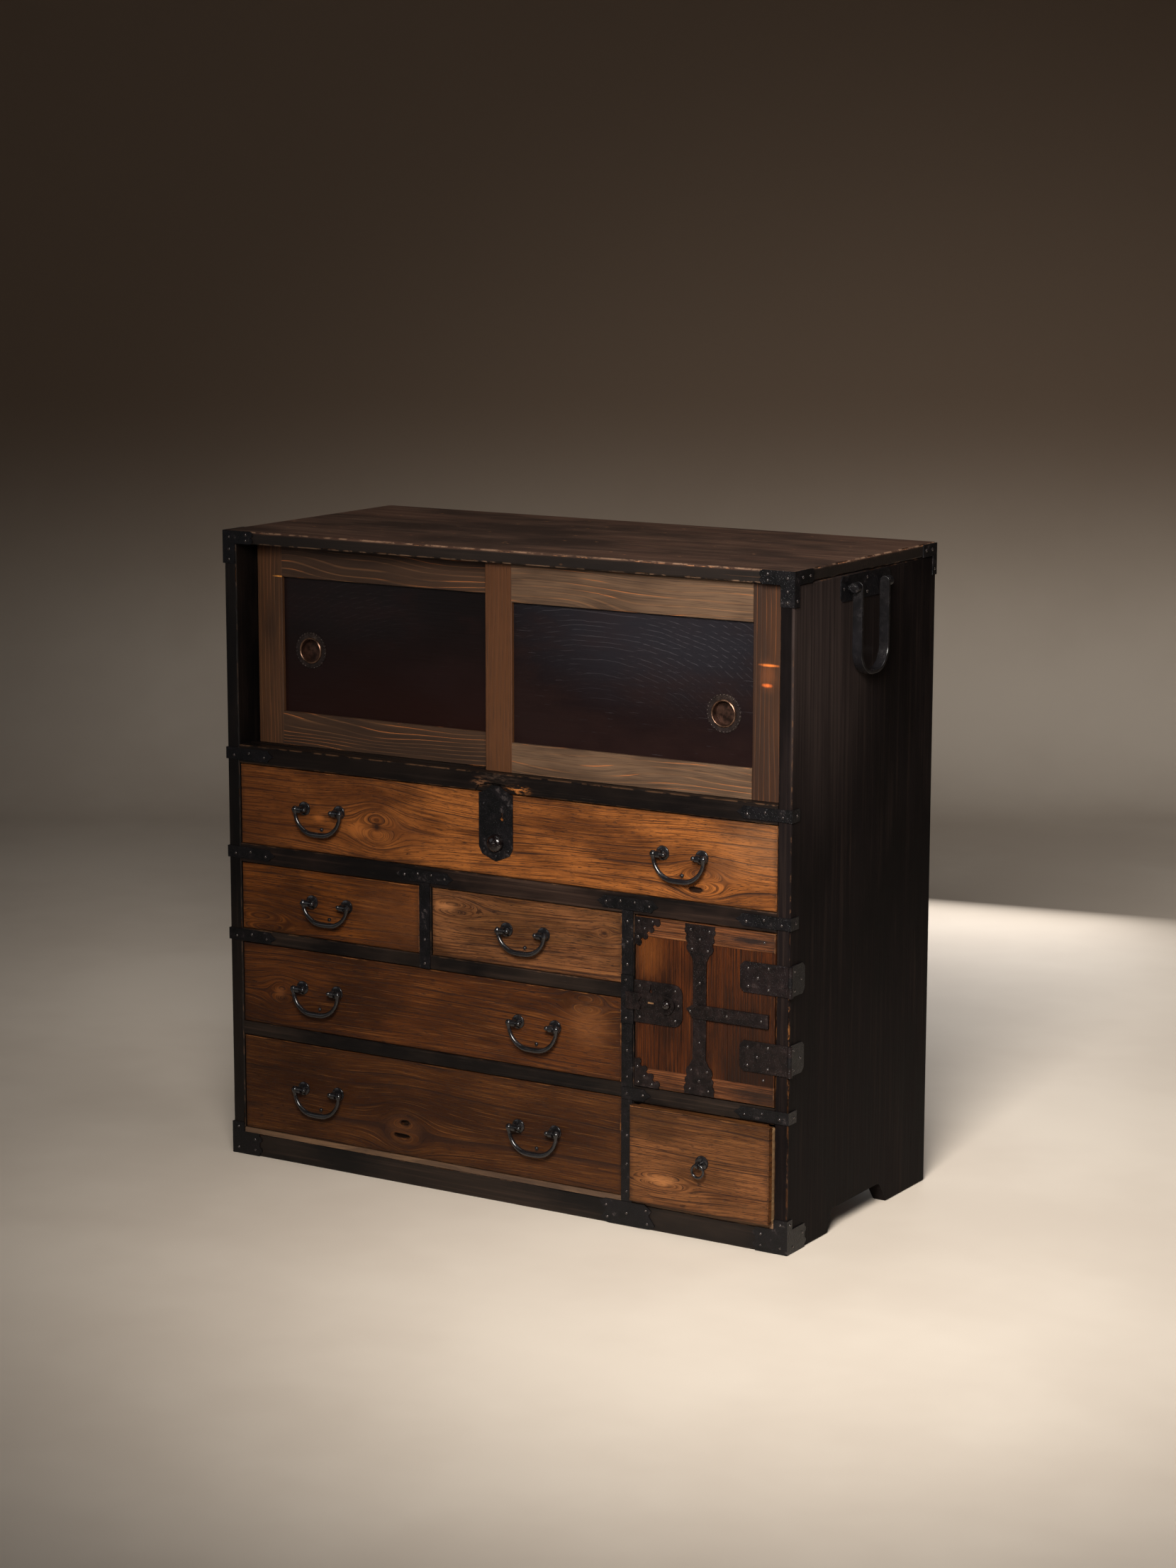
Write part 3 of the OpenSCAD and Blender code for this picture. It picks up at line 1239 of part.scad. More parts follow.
module long_drawer_front() color(wood_front) place() difference() {
    drawer_front(long_o, 0, [for (c = long_bails) for (s = [-1, 1]) c + s * bail_half]);
    board(lock_x - bolt_w / 2 - lock_fit, lock_x + bolt_w / 2 + lock_fit, drawer_setback - cut,
          long_bolt_y + bolt_t + lock_fit, long_bolt_z0 - lock_fit, sill_z);
    translate([lock_x, drawer_setback - cut, long_z + long_button_z]) rotate([-90, 0, 0])
        cylinder(h = cut + button_pocket, r = long_button_r + lock_fit);
}

module long_drawer_box() color(wood_raw) place() drawer_box(long_o, 0);

module long_drawer_posts() color(iron) place() {
    for (c = long_bails) bail_posts(long_o, 0, c, bail_drop);
}

module long_drawer_bail_left() color(iron) place() bail(long_o, 0, long_bails[0], bail_drop);

module long_drawer_bail_right() color(iron) place() bail(long_o, 0, long_bails[1], bail_drop);

long_bolt_z0 = long_z + long_button_z + long_button_r + 5;

module long_drawer_lock_plate() color(iron) place() {
    half = lock_w / 2;
    shoulder = sill_z - drawer_top_gap;
    rise = sill_z + lock_peak - shoulder;
    low = long_z + long_button_z - 6;
    point = long_z + long_button_z - long_button_r - 13;
    side_x = half - lock_nail_inset;
    nails = [[-side_x, shoulder - lock_nail_drop], [side_x, shoulder - lock_nail_drop],
             [-side_x, low - 3.5], [side_x, low - 3.5], [0, point + 7]];
    // Each shoulder sweeps up to the peak in a hollow curve
    sweep = [for (i = [0:8]) let (t = i / 8)
        [half - (half - lock_peak_w / 2) * t, shoulder + rise * pow(t, 1.5)]];
    front_plate(drawer_setback, iron_t) translate([lock_x, 0]) difference() {
        polygon(concat(sweep, [for (i = [8:-1:0]) [-sweep[i][0], sweep[i][1]]],
            [[-half, low], [-half + 5, low - 10], [0, point], [half - 5, low - 10], [half, low]]));
        translate([0, long_z + long_button_z]) circle(long_button_r + lock_fit);
        keyhole(half * 0.36, shoulder - keyhole_drop);
        for (p = nails) translate(p) circle(nail_r + glue_gap, $fn = 16);
    }
    for (p = nails) nail(lock_x + p[0], drawer_setback - iron_t - glue_gap, p[1]);
}

module long_drawer_lock_bolt() color(iron) place()
    board(lock_x - bolt_w / 2, lock_x + bolt_w / 2, long_bolt_y, long_bolt_y + bolt_t,
          long_bolt_z0, sill_z - drawer_top_gap - 0.5);

module long_drawer_lock_button() color(iron) place()
    lock_button(lock_x, drawer_setback - iron_t, long_z + long_button_z, long_button_r, 2.4);

small_left_x = (small_left_o[0] + small_left_o[1]) / 2;
small_right_x = (small_right_o[0] + small_right_o[1]) / 2;

module small_left_drawer_front() color(wood_front) place()
    drawer_front(small_left_o, 0, [small_left_x - bail_half, small_left_x + bail_half]);

module small_left_drawer_box() color(wood_raw) place() drawer_box(small_left_o, 0);

module small_left_drawer_posts() color(iron) place()
    bail_posts(small_left_o, 0, small_left_x, small_bail_drop);

module small_left_drawer_bail() color(iron) place()
    bail(small_left_o, 0, small_left_x, small_bail_drop);

module small_right_drawer_front() color(wood_front) place()
    drawer_front(small_right_o, 0, [small_right_x - bail_half, small_right_x + bail_half]);

module small_right_drawer_box() color(wood_raw) place() drawer_box(small_right_o, 0);

module small_right_drawer_posts() color(iron) place()
    bail_posts(small_right_o, 0, small_right_x, small_bail_drop);

module small_right_drawer_bail() color(iron) place()
    bail(small_right_o, 0, small_right_x, small_bail_drop);

module middle_drawer_front() color(wood_front) place()
    drawer_front(middle_o, 0, [for (c = middle_bails) for (s = [-1, 1]) c + s * bail_half]);

module middle_drawer_box() color(wood_raw) place() drawer_box(middle_o, 0);

module middle_drawer_posts() color(iron) place() {
    for (c = middle_bails) bail_posts(middle_o, 0, c, bail_drop);
}

module middle_drawer_bail_left() color(iron) place() bail(middle_o, 0, middle_bails[0], bail_drop);

module middle_drawer_bail_right() color(iron) place() bail(middle_o, 0, middle_bails[1], bail_drop);

module bottom_drawer_front() color(wood_front) place()
    drawer_front(bottom_o, 0, [for (c = middle_bails) for (s = [-1, 1]) c + s * bail_half]);

module bottom_drawer_box() color(wood_raw) place() drawer_box(bottom_o, 0);

module bottom_drawer_posts() color(iron) place() {
    for (c = middle_bails) bail_posts(bottom_o, 0, c, bail_drop);
}

module bottom_drawer_bail_left() color(iron) place() bail(bottom_o, 0, middle_bails[0], bail_drop);

module bottom_drawer_bail_right() color(iron) place() bail(bottom_o, 0, middle_bails[1], bail_drop);

module ring_drawer_front() color(wood_front) place() drawer_front(ring_o, ring_pull, [ring_x]);

module ring_drawer_box() color(wood_raw) place() drawer_box(ring_o, ring_pull);

module ring_drawer_post() color(iron) place()
    post(ring_x, drawer_setback - ring_pull, pivot_height(ring_o), ring_eye_w,
         ring_wire_r + ring_slack);

// The ring hangs through the post's eye
module ring_drawer_ring() color(iron) place()
    translate([ring_x, drawer_setback - ring_pull - bail_standoff,
               pivot_height(ring_o) - ring_mid_r])
        rotate([90, 0, 0]) rotate_extrude() translate([ring_mid_r, 0]) circle(ring_wire_r);

side_panel_left();
side_panel_right();
top_board();
bottom_board();
back_boards();
sill_rail();
upper_rail();
drawer_rails();
plinth_rail();
main_divider();
small_divider();
dust_boards();
carcass_irons();
carcass_nails();
side_irons();
side_handle_left();
side_handle_right();
left_door_frame();
left_door_panel();
left_door_pull();
right_door_frame();
right_door_panel();
right_door_pull();
safe_door_panel();
safe_door_battens();
safe_door_irons();
safe_door_nails();
safe_lock_plate();
safe_lock_bolt();
safe_lock_button();
long_drawer_front();
long_drawer_box();
long_drawer_posts();
long_drawer_bail_left();
long_drawer_bail_right();
long_drawer_lock_plate();
long_drawer_lock_bolt();
long_drawer_lock_button();
small_left_drawer_front();
small_left_drawer_box();
small_left_drawer_posts();
small_left_drawer_bail();
small_right_drawer_front();
small_right_drawer_box();
small_right_drawer_posts();
small_right_drawer_bail();
middle_drawer_front();
middle_drawer_box();
middle_drawer_posts();
middle_drawer_bail_left();
middle_drawer_bail_right();
bottom_drawer_front();
bottom_drawer_box();
bottom_drawer_posts();
bottom_drawer_bail_left();
bottom_drawer_bail_right();
ring_drawer_front();
ring_drawer_box();
ring_drawer_post();
ring_drawer_ring();
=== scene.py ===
import json
import math
import random

import bmesh
import bpy
from mathutils import Matrix, Vector, noise


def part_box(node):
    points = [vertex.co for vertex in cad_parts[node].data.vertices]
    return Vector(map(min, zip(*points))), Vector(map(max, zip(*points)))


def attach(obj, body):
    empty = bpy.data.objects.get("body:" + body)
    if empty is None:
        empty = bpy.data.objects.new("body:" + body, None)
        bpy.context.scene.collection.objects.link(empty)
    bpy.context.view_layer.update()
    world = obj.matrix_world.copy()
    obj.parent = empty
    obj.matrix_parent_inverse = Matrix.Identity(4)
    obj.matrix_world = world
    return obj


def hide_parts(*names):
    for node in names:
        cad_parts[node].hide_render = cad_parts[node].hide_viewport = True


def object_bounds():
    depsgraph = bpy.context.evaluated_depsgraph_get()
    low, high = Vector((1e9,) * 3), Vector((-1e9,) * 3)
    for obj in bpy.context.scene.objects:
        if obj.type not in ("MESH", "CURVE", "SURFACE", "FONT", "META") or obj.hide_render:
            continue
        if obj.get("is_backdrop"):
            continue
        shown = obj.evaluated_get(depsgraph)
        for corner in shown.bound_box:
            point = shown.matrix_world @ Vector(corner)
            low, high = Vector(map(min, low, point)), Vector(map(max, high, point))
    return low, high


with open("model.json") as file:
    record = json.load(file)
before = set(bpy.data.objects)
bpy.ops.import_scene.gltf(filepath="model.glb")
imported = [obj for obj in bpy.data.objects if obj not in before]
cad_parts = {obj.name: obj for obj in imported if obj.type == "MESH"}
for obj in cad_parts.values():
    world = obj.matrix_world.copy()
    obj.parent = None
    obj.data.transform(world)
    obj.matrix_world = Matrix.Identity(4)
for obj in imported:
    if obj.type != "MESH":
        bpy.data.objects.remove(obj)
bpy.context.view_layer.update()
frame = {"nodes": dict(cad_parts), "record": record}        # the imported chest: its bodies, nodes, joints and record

bodyOf = {node: body for body, nodes in frame["record"]["behaviour"]["bodies"].items()
          for node in nodes}
mm = 0.001
faceReach = 0.6      # an edge this near a face's plane counts as one of the face's edges, mm


def tone(red, green, blue):
    # a screen colour, 0 to 255, as the linear one that a shader takes
    def linear(v):
        v /= 255
        return v / 12.92 if v <= 0.04045 else ((v + 0.055) / 1.055) ** 2.4
    return (linear(red), linear(green), linear(blue), 1)


class Wire:
    # a shader value, so that the usual signs add the nodes that work it out
    def __init__(self, paint, socket):
        self.paint = paint
        self.socket = socket

    def __add__(self, other):
        return self.paint.maths("ADD", self, other)

    def __radd__(self, other):
        return self.paint.maths("ADD", other, self)

    def __sub__(self, other):
        return self.paint.maths("SUBTRACT", self, other)

    def __rsub__(self, other):
        return self.paint.maths("SUBTRACT", other, self)

    def __mul__(self, other):
        return self.paint.maths("MULTIPLY", self, other)

    def __rmul__(self, other):
        return self.paint.maths("MULTIPLY", other, self)

    def __truediv__(self, other):
        return self.paint.maths("DIVIDE", self, other)

    def __rtruediv__(self, other):
        return self.paint.maths("DIVIDE", other, self)

    def __pow__(self, other):
        return self.paint.maths("POWER", self, other)

    def rise(self, low, high):
        # 0 below low, 1 above high, and the other way round where low is the greater
        return self.paint.node("ShaderNodeMapRange", {"interpolation_type": "SMOOTHSTEP"},
                               {0: self, 1: low, 2: high})


class Paint:
    # one material in the making: its lengths are millimetres, and its colour is laid on in coats
    def __init__(self, name, seed):
        self.seed = seed
        self.colour = None
        self.material = bpy.data.materials.new(name)
        self.material.use_nodes = True
        self.tree = self.material.node_tree
        self.tree.nodes.clear()
        place = self.node("ShaderNodeTexCoord", {}, {}, "Object")
        self.point = self.node("ShaderNodeVectorMath", {"operation": "SCALE"},
                               {0: place, 3: 1 / mm})
        split = self.node("ShaderNodeSeparateXYZ", {}, {0: self.point}).socket.node
        self.axis = {a: Wire(self, split.outputs[i]) for i, a in enumerate("xyz")}

    def node(self, kind, settings, sockets, output=0):
        made = self.tree.nodes.new(kind)
        for key, value in settings.items():
            setattr(made, key, value)
        for key, value in sockets.items():
            if isinstance(value, Wire):
                self.tree.links.new(value.socket, made.inputs[key])
            else:
                made.inputs[key].default_value = value
        return Wire(self, made.outputs[output]) if made.outputs else made

    def maths(self, operation, *values):
        return self.node("ShaderNodeMath", {"operation": operation}, dict(enumerate(values)))

    def least(self, a, b):
        return self.maths("MINIMUM", a, b)

    def most(self, a, b):
        return self.maths("MAXIMUM", a, b)

    def mix(self, share, a, b):
        return self.node("ShaderNodeMix", {"data_type": "RGBA"}, {0: share, 6: a, 7: b}, 2)

    def lay(self, share, shade):
        self.colour = self.mix(share, self.colour, shade)

    def vector(self, *parts):
        return self.node("ShaderNodeCombineXYZ", {}, dict(enumerate(parts)))

    def grown(self, vector, scale, seed):
        # a scale is in waves per millimetre: along the board, across it and into it
        seed += self.seed
        return self.node("ShaderNodeVectorMath", {"operation": "MULTIPLY_ADD"},
                         {0: vector, 1: scale, 2: (seed * 7.31, seed * 3.17, seed * 1.73)})

    def noise(self, vector, scale, seed=0, detail=2, rough=0.5):
        return self.node("ShaderNodeTexNoise", {},
                         {"Vector": self.grown(vector, scale, seed), "Scale": 1,
                          "Detail": detail, "Roughness": rough})

    def cells(self, vector, scale, seed=0):
        return self.node("ShaderNodeTexVoronoi", {},
                         {"Vector": self.grown(vector, scale, seed), "Scale": 1})

    def value(self, name):
        # a number that the mesh carries at each point
        return self.node("ShaderNodeAttribute", {"attribute_name": name}, {}, "Fac")

    def edgeDistance(self, low, high):
        # how far a point of a box's surface is from the box's nearest edge
        gx, gy, gz = (self.least(self.axis[a] - low[i], high[i] - self.axis[a])
                      for i, a in enumerate("xyz"))
        return self.most(self.least(gx, gy), self.least(self.most(gx, gy), gz))

    def reach(self, along, across, oval):
        # 0 at an oval's middle and 1 on its rim; the oval is its middle and its half sizes
        u, v, ru, rv = oval
        return (((along - u) / ru) ** 2 + ((across - v) / rv) ** 2) ** 0.5

    def spot(self, along, across, oval, ragged):
        # 1 inside a ragged oval, 0 outside; a slim one has the harder rim
        slim = oval[3] < 6
        reach = self.reach(along, across, oval) + (ragged - 0.5) * 0.7
        return reach.rise(1.2, 0.75 if slim else 0.1)

    def stain(self, marks, along, across, ragged):
        # each mark is an oval, its shade and its strength
        for oval, shade, strength in marks:
            self.lay(self.spot(along, across, oval, ragged) * strength, shade)

    def finish(self, rough, metal=0, relief=None, depth=0.3, gloss=0.5, fixed=None):
        settings = {"Base Color": self.colour, "Roughness": rough, "Metallic": metal,
                    "Specular IOR Level": gloss}
        if relief is not None:
            settings["Normal"] = self.node("ShaderNodeBump", {}, {
                "Strength": 1, "Distance": depth * mm, "Height": relief})
        settings.update(fixed or {})
        shader = self.node("ShaderNodeBsdfPrincipled", {}, settings)
        self.node("ShaderNodeOutputMaterial", {}, {0: shader})
        return self.material


print("materials")

goldenWood = {
    "pale": tone(138, 81, 36), "deep": tone(83, 45, 17), "fibre": tone(48, 22, 7),
    "line": tone(32, 16, 9), "pore": tone(32, 16, 9), "grime": tone(28, 15, 9),
    "rub": tone(136, 88, 46), "raw": tone(176, 116, 66), "spacing": 15, "wander": 46,
    "rough": 0.5, "lineStrength": 0.9, "poreStrength": 0.85, "gloss": 0.16,
}


def drawerWood(name, look):
    # dressed hardwood: rings that flow round the knots, pores, grime and rubbed edges
    paint = Paint(name, look["seed"])
    along, across, depth = (paint.axis[a] for a in look["grain"])
    flat = paint.vector(along, across, depth)
    wander = paint.noise(flat, (0.0017, 0.0075, 0.012), 0, 2) - 0.5
    ringAt = across + wander * look["wander"]
    heart = 0
    for u, v, reach, slim, core in look.get("knots", ()):
        du = (along - u) * slim
        dv = across - v
        square = du * du + dv * dv
        ringAt = ringAt - dv * (reach * reach / (square + 0.3 * reach * reach))
        if core:
            near = square ** 0.5 + (paint.noise(flat, (0.06,) * 3) - 0.5) * core
            heart = heart + near.rise(core * 1.7, core * 0.55)
    spread = paint.noise(paint.vector(0, ringAt, 0), (1, 0.021, 1), 3, 1) - 0.5
    phase = paint.maths("FRACT", (ringAt + spread * look["spacing"] * 3) / look["spacing"])
    line = phase.rise(0.72, 0.96) ** 2 * phase.rise(1, 0.975)
    fade = paint.noise(flat, (0.006, 0.05, 0.05), 5, 2).rise(0.40, 0.60)
    run = paint.vector(along, ringAt, depth)
    fibre = paint.noise(run, (0.011, 0.62, 0.4), 7, 4, 0.62)
    pore = paint.noise(run, (0.075, 1.1, 0.7), 9, 2, 0.6).rise(0.58, 0.66)
    hair = paint.noise(run, (0.006, 0.34, 0.3), 15, 3, 0.75).rise(0.57, 0.63)
    cloud = paint.noise(flat, (0.006, 0.014, 0.02), 11, 4, 0.6)
    ragged = paint.noise(flat, (0.05, 0.12, 0.1), 13, 3)
    paint.colour = paint.mix(cloud.rise(0.36, 0.66), look["pale"], look["deep"])
    paint.lay(fibre.rise(0.44, 0.66) * 0.85, look["fibre"])
    paint.lay(fibre.rise(0.46, 0.28) * 0.34, look["rub"])
    paint.lay(line * (0.25 + fade * 0.75) * look["lineStrength"], look["line"])
    paint.lay(pore * look["poreStrength"], look["pore"])
    paint.lay(hair * fade * 0.55, look["line"])
    if look.get("knots"):
        paint.lay(paint.least(heart, 1) * 0.85, look["line"])
    paint.stain(look.get("marks", ()), along, across, ragged)
    edge = paint.edgeDistance(*look["box"])
    paint.lay((edge + ragged * 12).rise(15, 4) * 0.5, look["grime"])
    paint.lay((edge + ragged * 4).rise(3.2, 1.9) * cloud.rise(0.35, 0.6) * 0.5, look["rub"])
    chip = paint.value("chip")
    paint.lay((chip + ragged * 0.4).rise(0.6, 1) * pore.rise(1, 0) * 0.5, look["raw"])
    relief = fibre * 0.35 - line * fade * 0.8 - pore * 0.45
    rough = look["rough"] + line * 0.2 + (fibre - 0.5) * 0.25
    return paint.finish(rough, relief=relief, depth=0.5, gloss=look["gloss"])


blackLacquer = {
    "black": tone(8, 6, 6), "brown": tone(20, 14, 11), "streak": tone(36, 28, 24),
    "worn": tone(77, 54, 37), "raw": tone(104, 63, 32), "scuff": tone(72, 61, 52),
    "streakShare": 0.35, "rubWidth": 1.8, "rubStart": 0.5, "chipShare": 0.4, "rough": 0.42,
    "gloss": 0.2, "grain": "xzy",
}


def caseLacquer(name, look):
    # near-black old lacquer over wood, rubbed through along its edges
    paint = Paint(name, look["seed"])
    along, across, depth = (paint.axis[a] for a in look["grain"])
    flat = paint.vector(along, across, depth)
    streak = paint.noise(flat, (0.004, 0.24, 0.2), 0, 4, 0.6)
    cloud = paint.noise(flat, (0.005, 0.011, 0.02), 2, 4, 0.6)
    ragged = paint.noise(paint.point, (0.06,) * 3, 4, 4, 0.65)
    scuff = paint.noise(flat, (0.018, 0.55, 0.4), 6, 3, 0.7)
    paint.colour = paint.mix(cloud.rise(0.35, 0.68), look["black"], look["brown"])
    paint.lay(streak.rise(0.48, 0.72) * cloud.rise(0.30, 0.62) * look["streakShare"],
              look["streak"])
    paint.lay(scuff.rise(0.68, 0.76) * look.get("scuffShare", 0.3), look["scuff"])
    low, high = look["box"]
    if "nicks" in look:
        nick = paint.cells(flat, (0.028, 0.075, 0.05), 9).rise(0.10, 0.05)
        nick = nick * ragged.rise(0.46, 0.52)
        line = paint.noise(flat, (0.004, 0.42, 0.3), 10, 2, 0.8).rise(0.68, 0.72)
        line = line * paint.noise(flat, (0.012, 0.02, 0.02), 12, 1).rise(0.5, 0.6)
        paint.lay(paint.most(nick, line * 0.7) * look["nicks"], look["raw"])
    if "paintedSheen" in look:
        # the painted sheen: a greyish oval of painted reflection, laid only over the outer face of the board
        oval, shade, strength = look["paintedSheen"]
        outside = paint.axis["x"].rise(high[0] - 4, high[0] - 1)
        reach = paint.reach(along, across, oval)
        paintedSheen = (reach + (cloud - 0.5) * 0.8).rise(1.3, 0.1) * outside
        paint.lay(paintedSheen * (0.4 + streak.rise(0.3, 0.7) * 0.6) * strength, shade)
    if "rim" in look:
        below = high[2] - paint.axis["z"]
        paint.lay(below.rise(1.5, 4.5) * 0.9, look["rim"])
    for oval, shade, strength in look.get("marks", ()):
        splinter = paint.noise(flat, (0.05, 0.22, 0.2), 14, 4, 0.8)
        torn = paint.spot(along, across, oval, ragged) * splinter.rise(0.48, 0.56)
        paint.lay(torn * strength, shade)
    edge = paint.edgeDistance(low, high)
    rub = edge.rise(look["rubWidth"], look["rubWidth"] * 0.4)
    rub = rub * ragged.rise(look["rubStart"], look["rubStart"] + 0.1) * cloud.rise(0.3, 0.6)
    paint.lay(rub * 0.7, look["worn"])
    for oval, shade, strength in look.get("bares", ()):
        torn = paint.noise(paint.point, (0.11, 0.11, 0.035), 7, 4, 0.75)
        bare = paint.spot(along, across, oval, ragged) * (edge + torn * 6).rise(6, 4.4)
        paint.lay(bare * torn.rise(0.50, 0.58) * strength, shade)
    chip = paint.value("chip")
    broken = paint.noise(paint.point, (0.2,) * 3, 8, 3, 0.7)
    bare = (chip + ragged * 0.5).rise(0.7, 1) * broken.rise(0.42, 0.56)
    paint.lay(bare * look["chipShare"], look["raw"])
    rough = look["rough"] + (cloud - 0.5) * 0.3 + scuff.rise(0.6, 0.75) * 0.15
    relief = streak * 0.5 + scuff * 0.3 + cloud * 0.8
    return paint.finish(rough, relief=relief, depth=0.4, gloss=look["gloss"])


def softWood(name, look):
    # grey-brown straight-grained softwood with loops of orange late wood
    paint = Paint(name, look["seed"])
    along, across, depth = (paint.axis[a] for a in look["grain"])
    board = paint.value("board") * look["boardStep"]
    flat = paint.vector(along, across + board, depth)
    bend = paint.noise(flat, (0.0035, 0.018, 0.02), 0, 1) - 0.5
    ringAt = across + bend * look["bend"] + board
    phase = paint.maths("FRACT", ringAt / look["spacing"])
    line = phase.rise(0.70, 0.92) * phase.rise(1, 0.95)
    fine = paint.noise(paint.vector(along, ringAt, depth), (0.006, 0.6, 0.5), 3, 5, 0.7)
    cloud = paint.noise(flat, (0.006, 0.02, 0.02), 5, 3)
    ragged = paint.noise(flat, (0.05, 0.12, 0.1), 6, 3)
    flare = paint.noise(flat, (0.006, 0.05, 0.05), 8, 1).rise(0.52, 0.60)
    paint.colour = paint.mix(cloud.rise(0.35, 0.65), look["pale"], look["deep"])
    paint.lay(fine.rise(0.44, 0.70) * 0.7, look["fibre"])
    pulse = paint.noise(flat, (0.01, 0.05, 0.05), 9, 2).rise(0.36, 0.60)
    paint.lay(line * (0.2 + pulse * 0.8) * 0.36, look["line"])
    paint.lay(phase.rise(0.88, 0.93) * phase.rise(0.99, 0.95) * flare * look["flare"],
              look["orange"])
    paint.stain(look.get("marks", ()), along, across, ragged)
    streak = paint.noise(flat, (0.02, 0.9, 0.6), 10, 2).rise(0.56, 0.66)
    paint.lay(streak * 0.5, look["fibre"])
    chip = paint.value("chip")
    paint.lay((chip + ragged * 0.4).rise(0.5, 0.9) * 0.5, look["orange"])
    relief = fine * 0.5 - line * 0.4
    rough = look["rough"] + (fine - 0.5) * 0.2
    return paint.finish(rough, relief=relief, gloss=look["gloss"])


def panelLacquer(name, look):
    # dark red-black lacquered board, with a painted reflection: a bluish sheen and the fine arcs that show in it
    paint = Paint(name, look["seed"])
    x, y, z = (paint.axis[a] for a in "xyz")
    flat = paint.vector(x, z, y)
    cloud = paint.noise(flat, (0.006, 0.012, 0.02), 0, 4, 0.65)
    fine = paint.noise(flat, (0.010, 0.35, 0.2), 2, 4, 0.6)
    scratch = paint.noise(flat, (0.02, 0.9, 0.4), 4, 2, 0.7).rise(0.70, 0.75)
    low, high = look["box"]
    foot = ((z - low[2]) / (high[2] - low[2]) + (cloud - 0.5) * 1.6).rise(0.7, -0.1)
    paint.colour = paint.mix(cloud.rise(0.35, 0.65), look["black"], look["brown"])
    paint.lay(foot * look["redShare"], look["red"])
    # painted reflection: a bluish oval laid into the colour where light is reflected, with lighter arcs that show
    # only inside it
    paintedReflection = (paint.reach(x, z, look["paintedReflection"]) + (cloud - 0.5) * 0.9).rise(1.3, 0.1)
    paint.lay(paintedReflection * look["reflectionShare"], look["blue"])
    u, v = look["arcs"]
    ring = ((x - u) ** 2 + ((z - v) * 1.7) ** 2) ** 0.5 + (cloud - 0.5) * 30
    arc = paint.maths("FRACT", ring / look["arcPitch"]).rise(0.84, 0.92)
    paint.lay(arc * fine.rise(0.44, 0.60) * paintedReflection * look["arcShare"], look["arc"])
    paint.lay(scratch * look["scratchShare"], look["arc"])
    rough = look["rough"] + (fine - 0.5) * 0.12 + paintedReflection * 0.05
    relief = fine * 0.5 + cloud * 2
    return paint.finish(rough, relief=relief, depth=0.25, gloss=look["gloss"])


def forgedIron(name, look):
    # hammered plate iron under old lacquer: mottled, pitted, a little brighter where it is rubbed
    paint = Paint(name, look["seed"])
    mottle = paint.noise(paint.point, (0.085,) * 3, 0, 5, 0.65)
    pits = paint.cells(paint.point, (0.42,) * 3, 1).rise(0.42, 0.10)
    cloud = paint.noise(paint.point, (0.016,) * 3, 2, 2)
    paint.colour = paint.mix(mottle.rise(0.36, 0.64), look["black"], look["brown"])
    paint.lay(cloud.rise(0.42, 0.70) * 0.5, look["purple"])
    paint.lay(mottle.rise(0.60, 0.72) * 0.5, look["rubbed"])
    paint.lay(pits * mottle.rise(0.4, 0.6) * 0.8, look["pit"])
    rough = look["rough"] + (mottle - 0.5) * 0.35
    relief = mottle - pits * 0.5
    return paint.finish(rough, look["metal"], relief, look["depth"], look["gloss"],
                        {"Coat Weight": look["coat"], "Coat Roughness": look["coatRough"]})


def castBronze(name, look):
    # browned copper alloy, bright where fingers have rubbed it
    paint = Paint(name, look["seed"])
    mottle = paint.noise(paint.point, (0.12,) * 3, 0, 4, 0.6)
    paint.colour = paint.mix(mottle.rise(0.35, 0.65), look["dark"], look["warm"])
    rough = look["rough"] + (mottle - 0.5) * 0.3
    return paint.finish(rough, look["metal"], mottle, 0.15)


def rawBoards(name, look):
    # plain unfinished boards: the back, the drawers' sides and bottoms
    paint = Paint(name, look["seed"])
    along, across, depth = (paint.axis[a] for a in look["grain"])
    board = paint.value("board")
    step = board * look["boardStep"]
    flat = paint.vector(along, across + step, depth)
    bend = paint.noise(flat, (0.0025, 0.012, 0.02), 0, 2) - 0.5
    ringAt = across + bend * look["bend"] + step
    phase = paint.maths("FRACT", ringAt / look["spacing"])
    line = phase.rise(0.3, 0.92) * phase.rise(1, 0.94)
    fine = paint.noise(paint.vector(along, ringAt, depth), (0.008, 0.5, 0.4), 3, 4, 0.65)
    cloud = paint.noise(flat, (0.005, 0.012, 0.02), 5, 4, 0.6)
    paint.colour = paint.mix(cloud.rise(0.35, 0.68), look["pale"], look["deep"])
    paint.lay(line * 0.5, look["line"])
    paint.lay(fine.rise(0.48, 0.72) * 0.6, look["fibre"])
    paint.lay(board.rise(0, 1) * 0.25, look["deep"])
    rough = look["rough"] + (fine - 0.5) * 0.2
    return paint.finish(rough, relief=fine - line * 0.5, gloss=look["gloss"])


# workshop steps that most pieces go through

def choose(*pieces):
    bpy.ops.object.select_all(action="DESELECT")
    for piece in pieces:
        piece.select_set(True)
    bpy.context.view_layer.objects.active = pieces[0]


def benchCopy(node, name):
    # a merged copy of a CAD node's mesh, with plain flat faces to work on
    piece = bpy.data.objects.new(name, frame["nodes"][node].data.copy())
    bpy.context.scene.collection.objects.link(piece)
    piece.data.materials.clear()
    choose(piece)
    bpy.ops.mesh.customdata_custom_splitnormals_clear()
    bpy.ops.object.mode_set(mode="EDIT")
    bpy.ops.mesh.select_all(action="SELECT")
    bpy.ops.mesh.remove_doubles(threshold=0.01 * mm)
    bpy.ops.mesh.dissolve_limited(angle_limit=math.radians(0.4))
    bpy.ops.mesh.select_all(action="DESELECT")
    bpy.ops.object.mode_set(mode="OBJECT")
    return piece


def applyModifier(piece, kind, **settings):
    choose(piece)
    modifier = piece.modifiers.new(kind.lower(), kind)
    for key, value in settings.items():
        setattr(modifier, key, value)
    bpy.ops.object.modifier_apply(modifier=modifier.name)


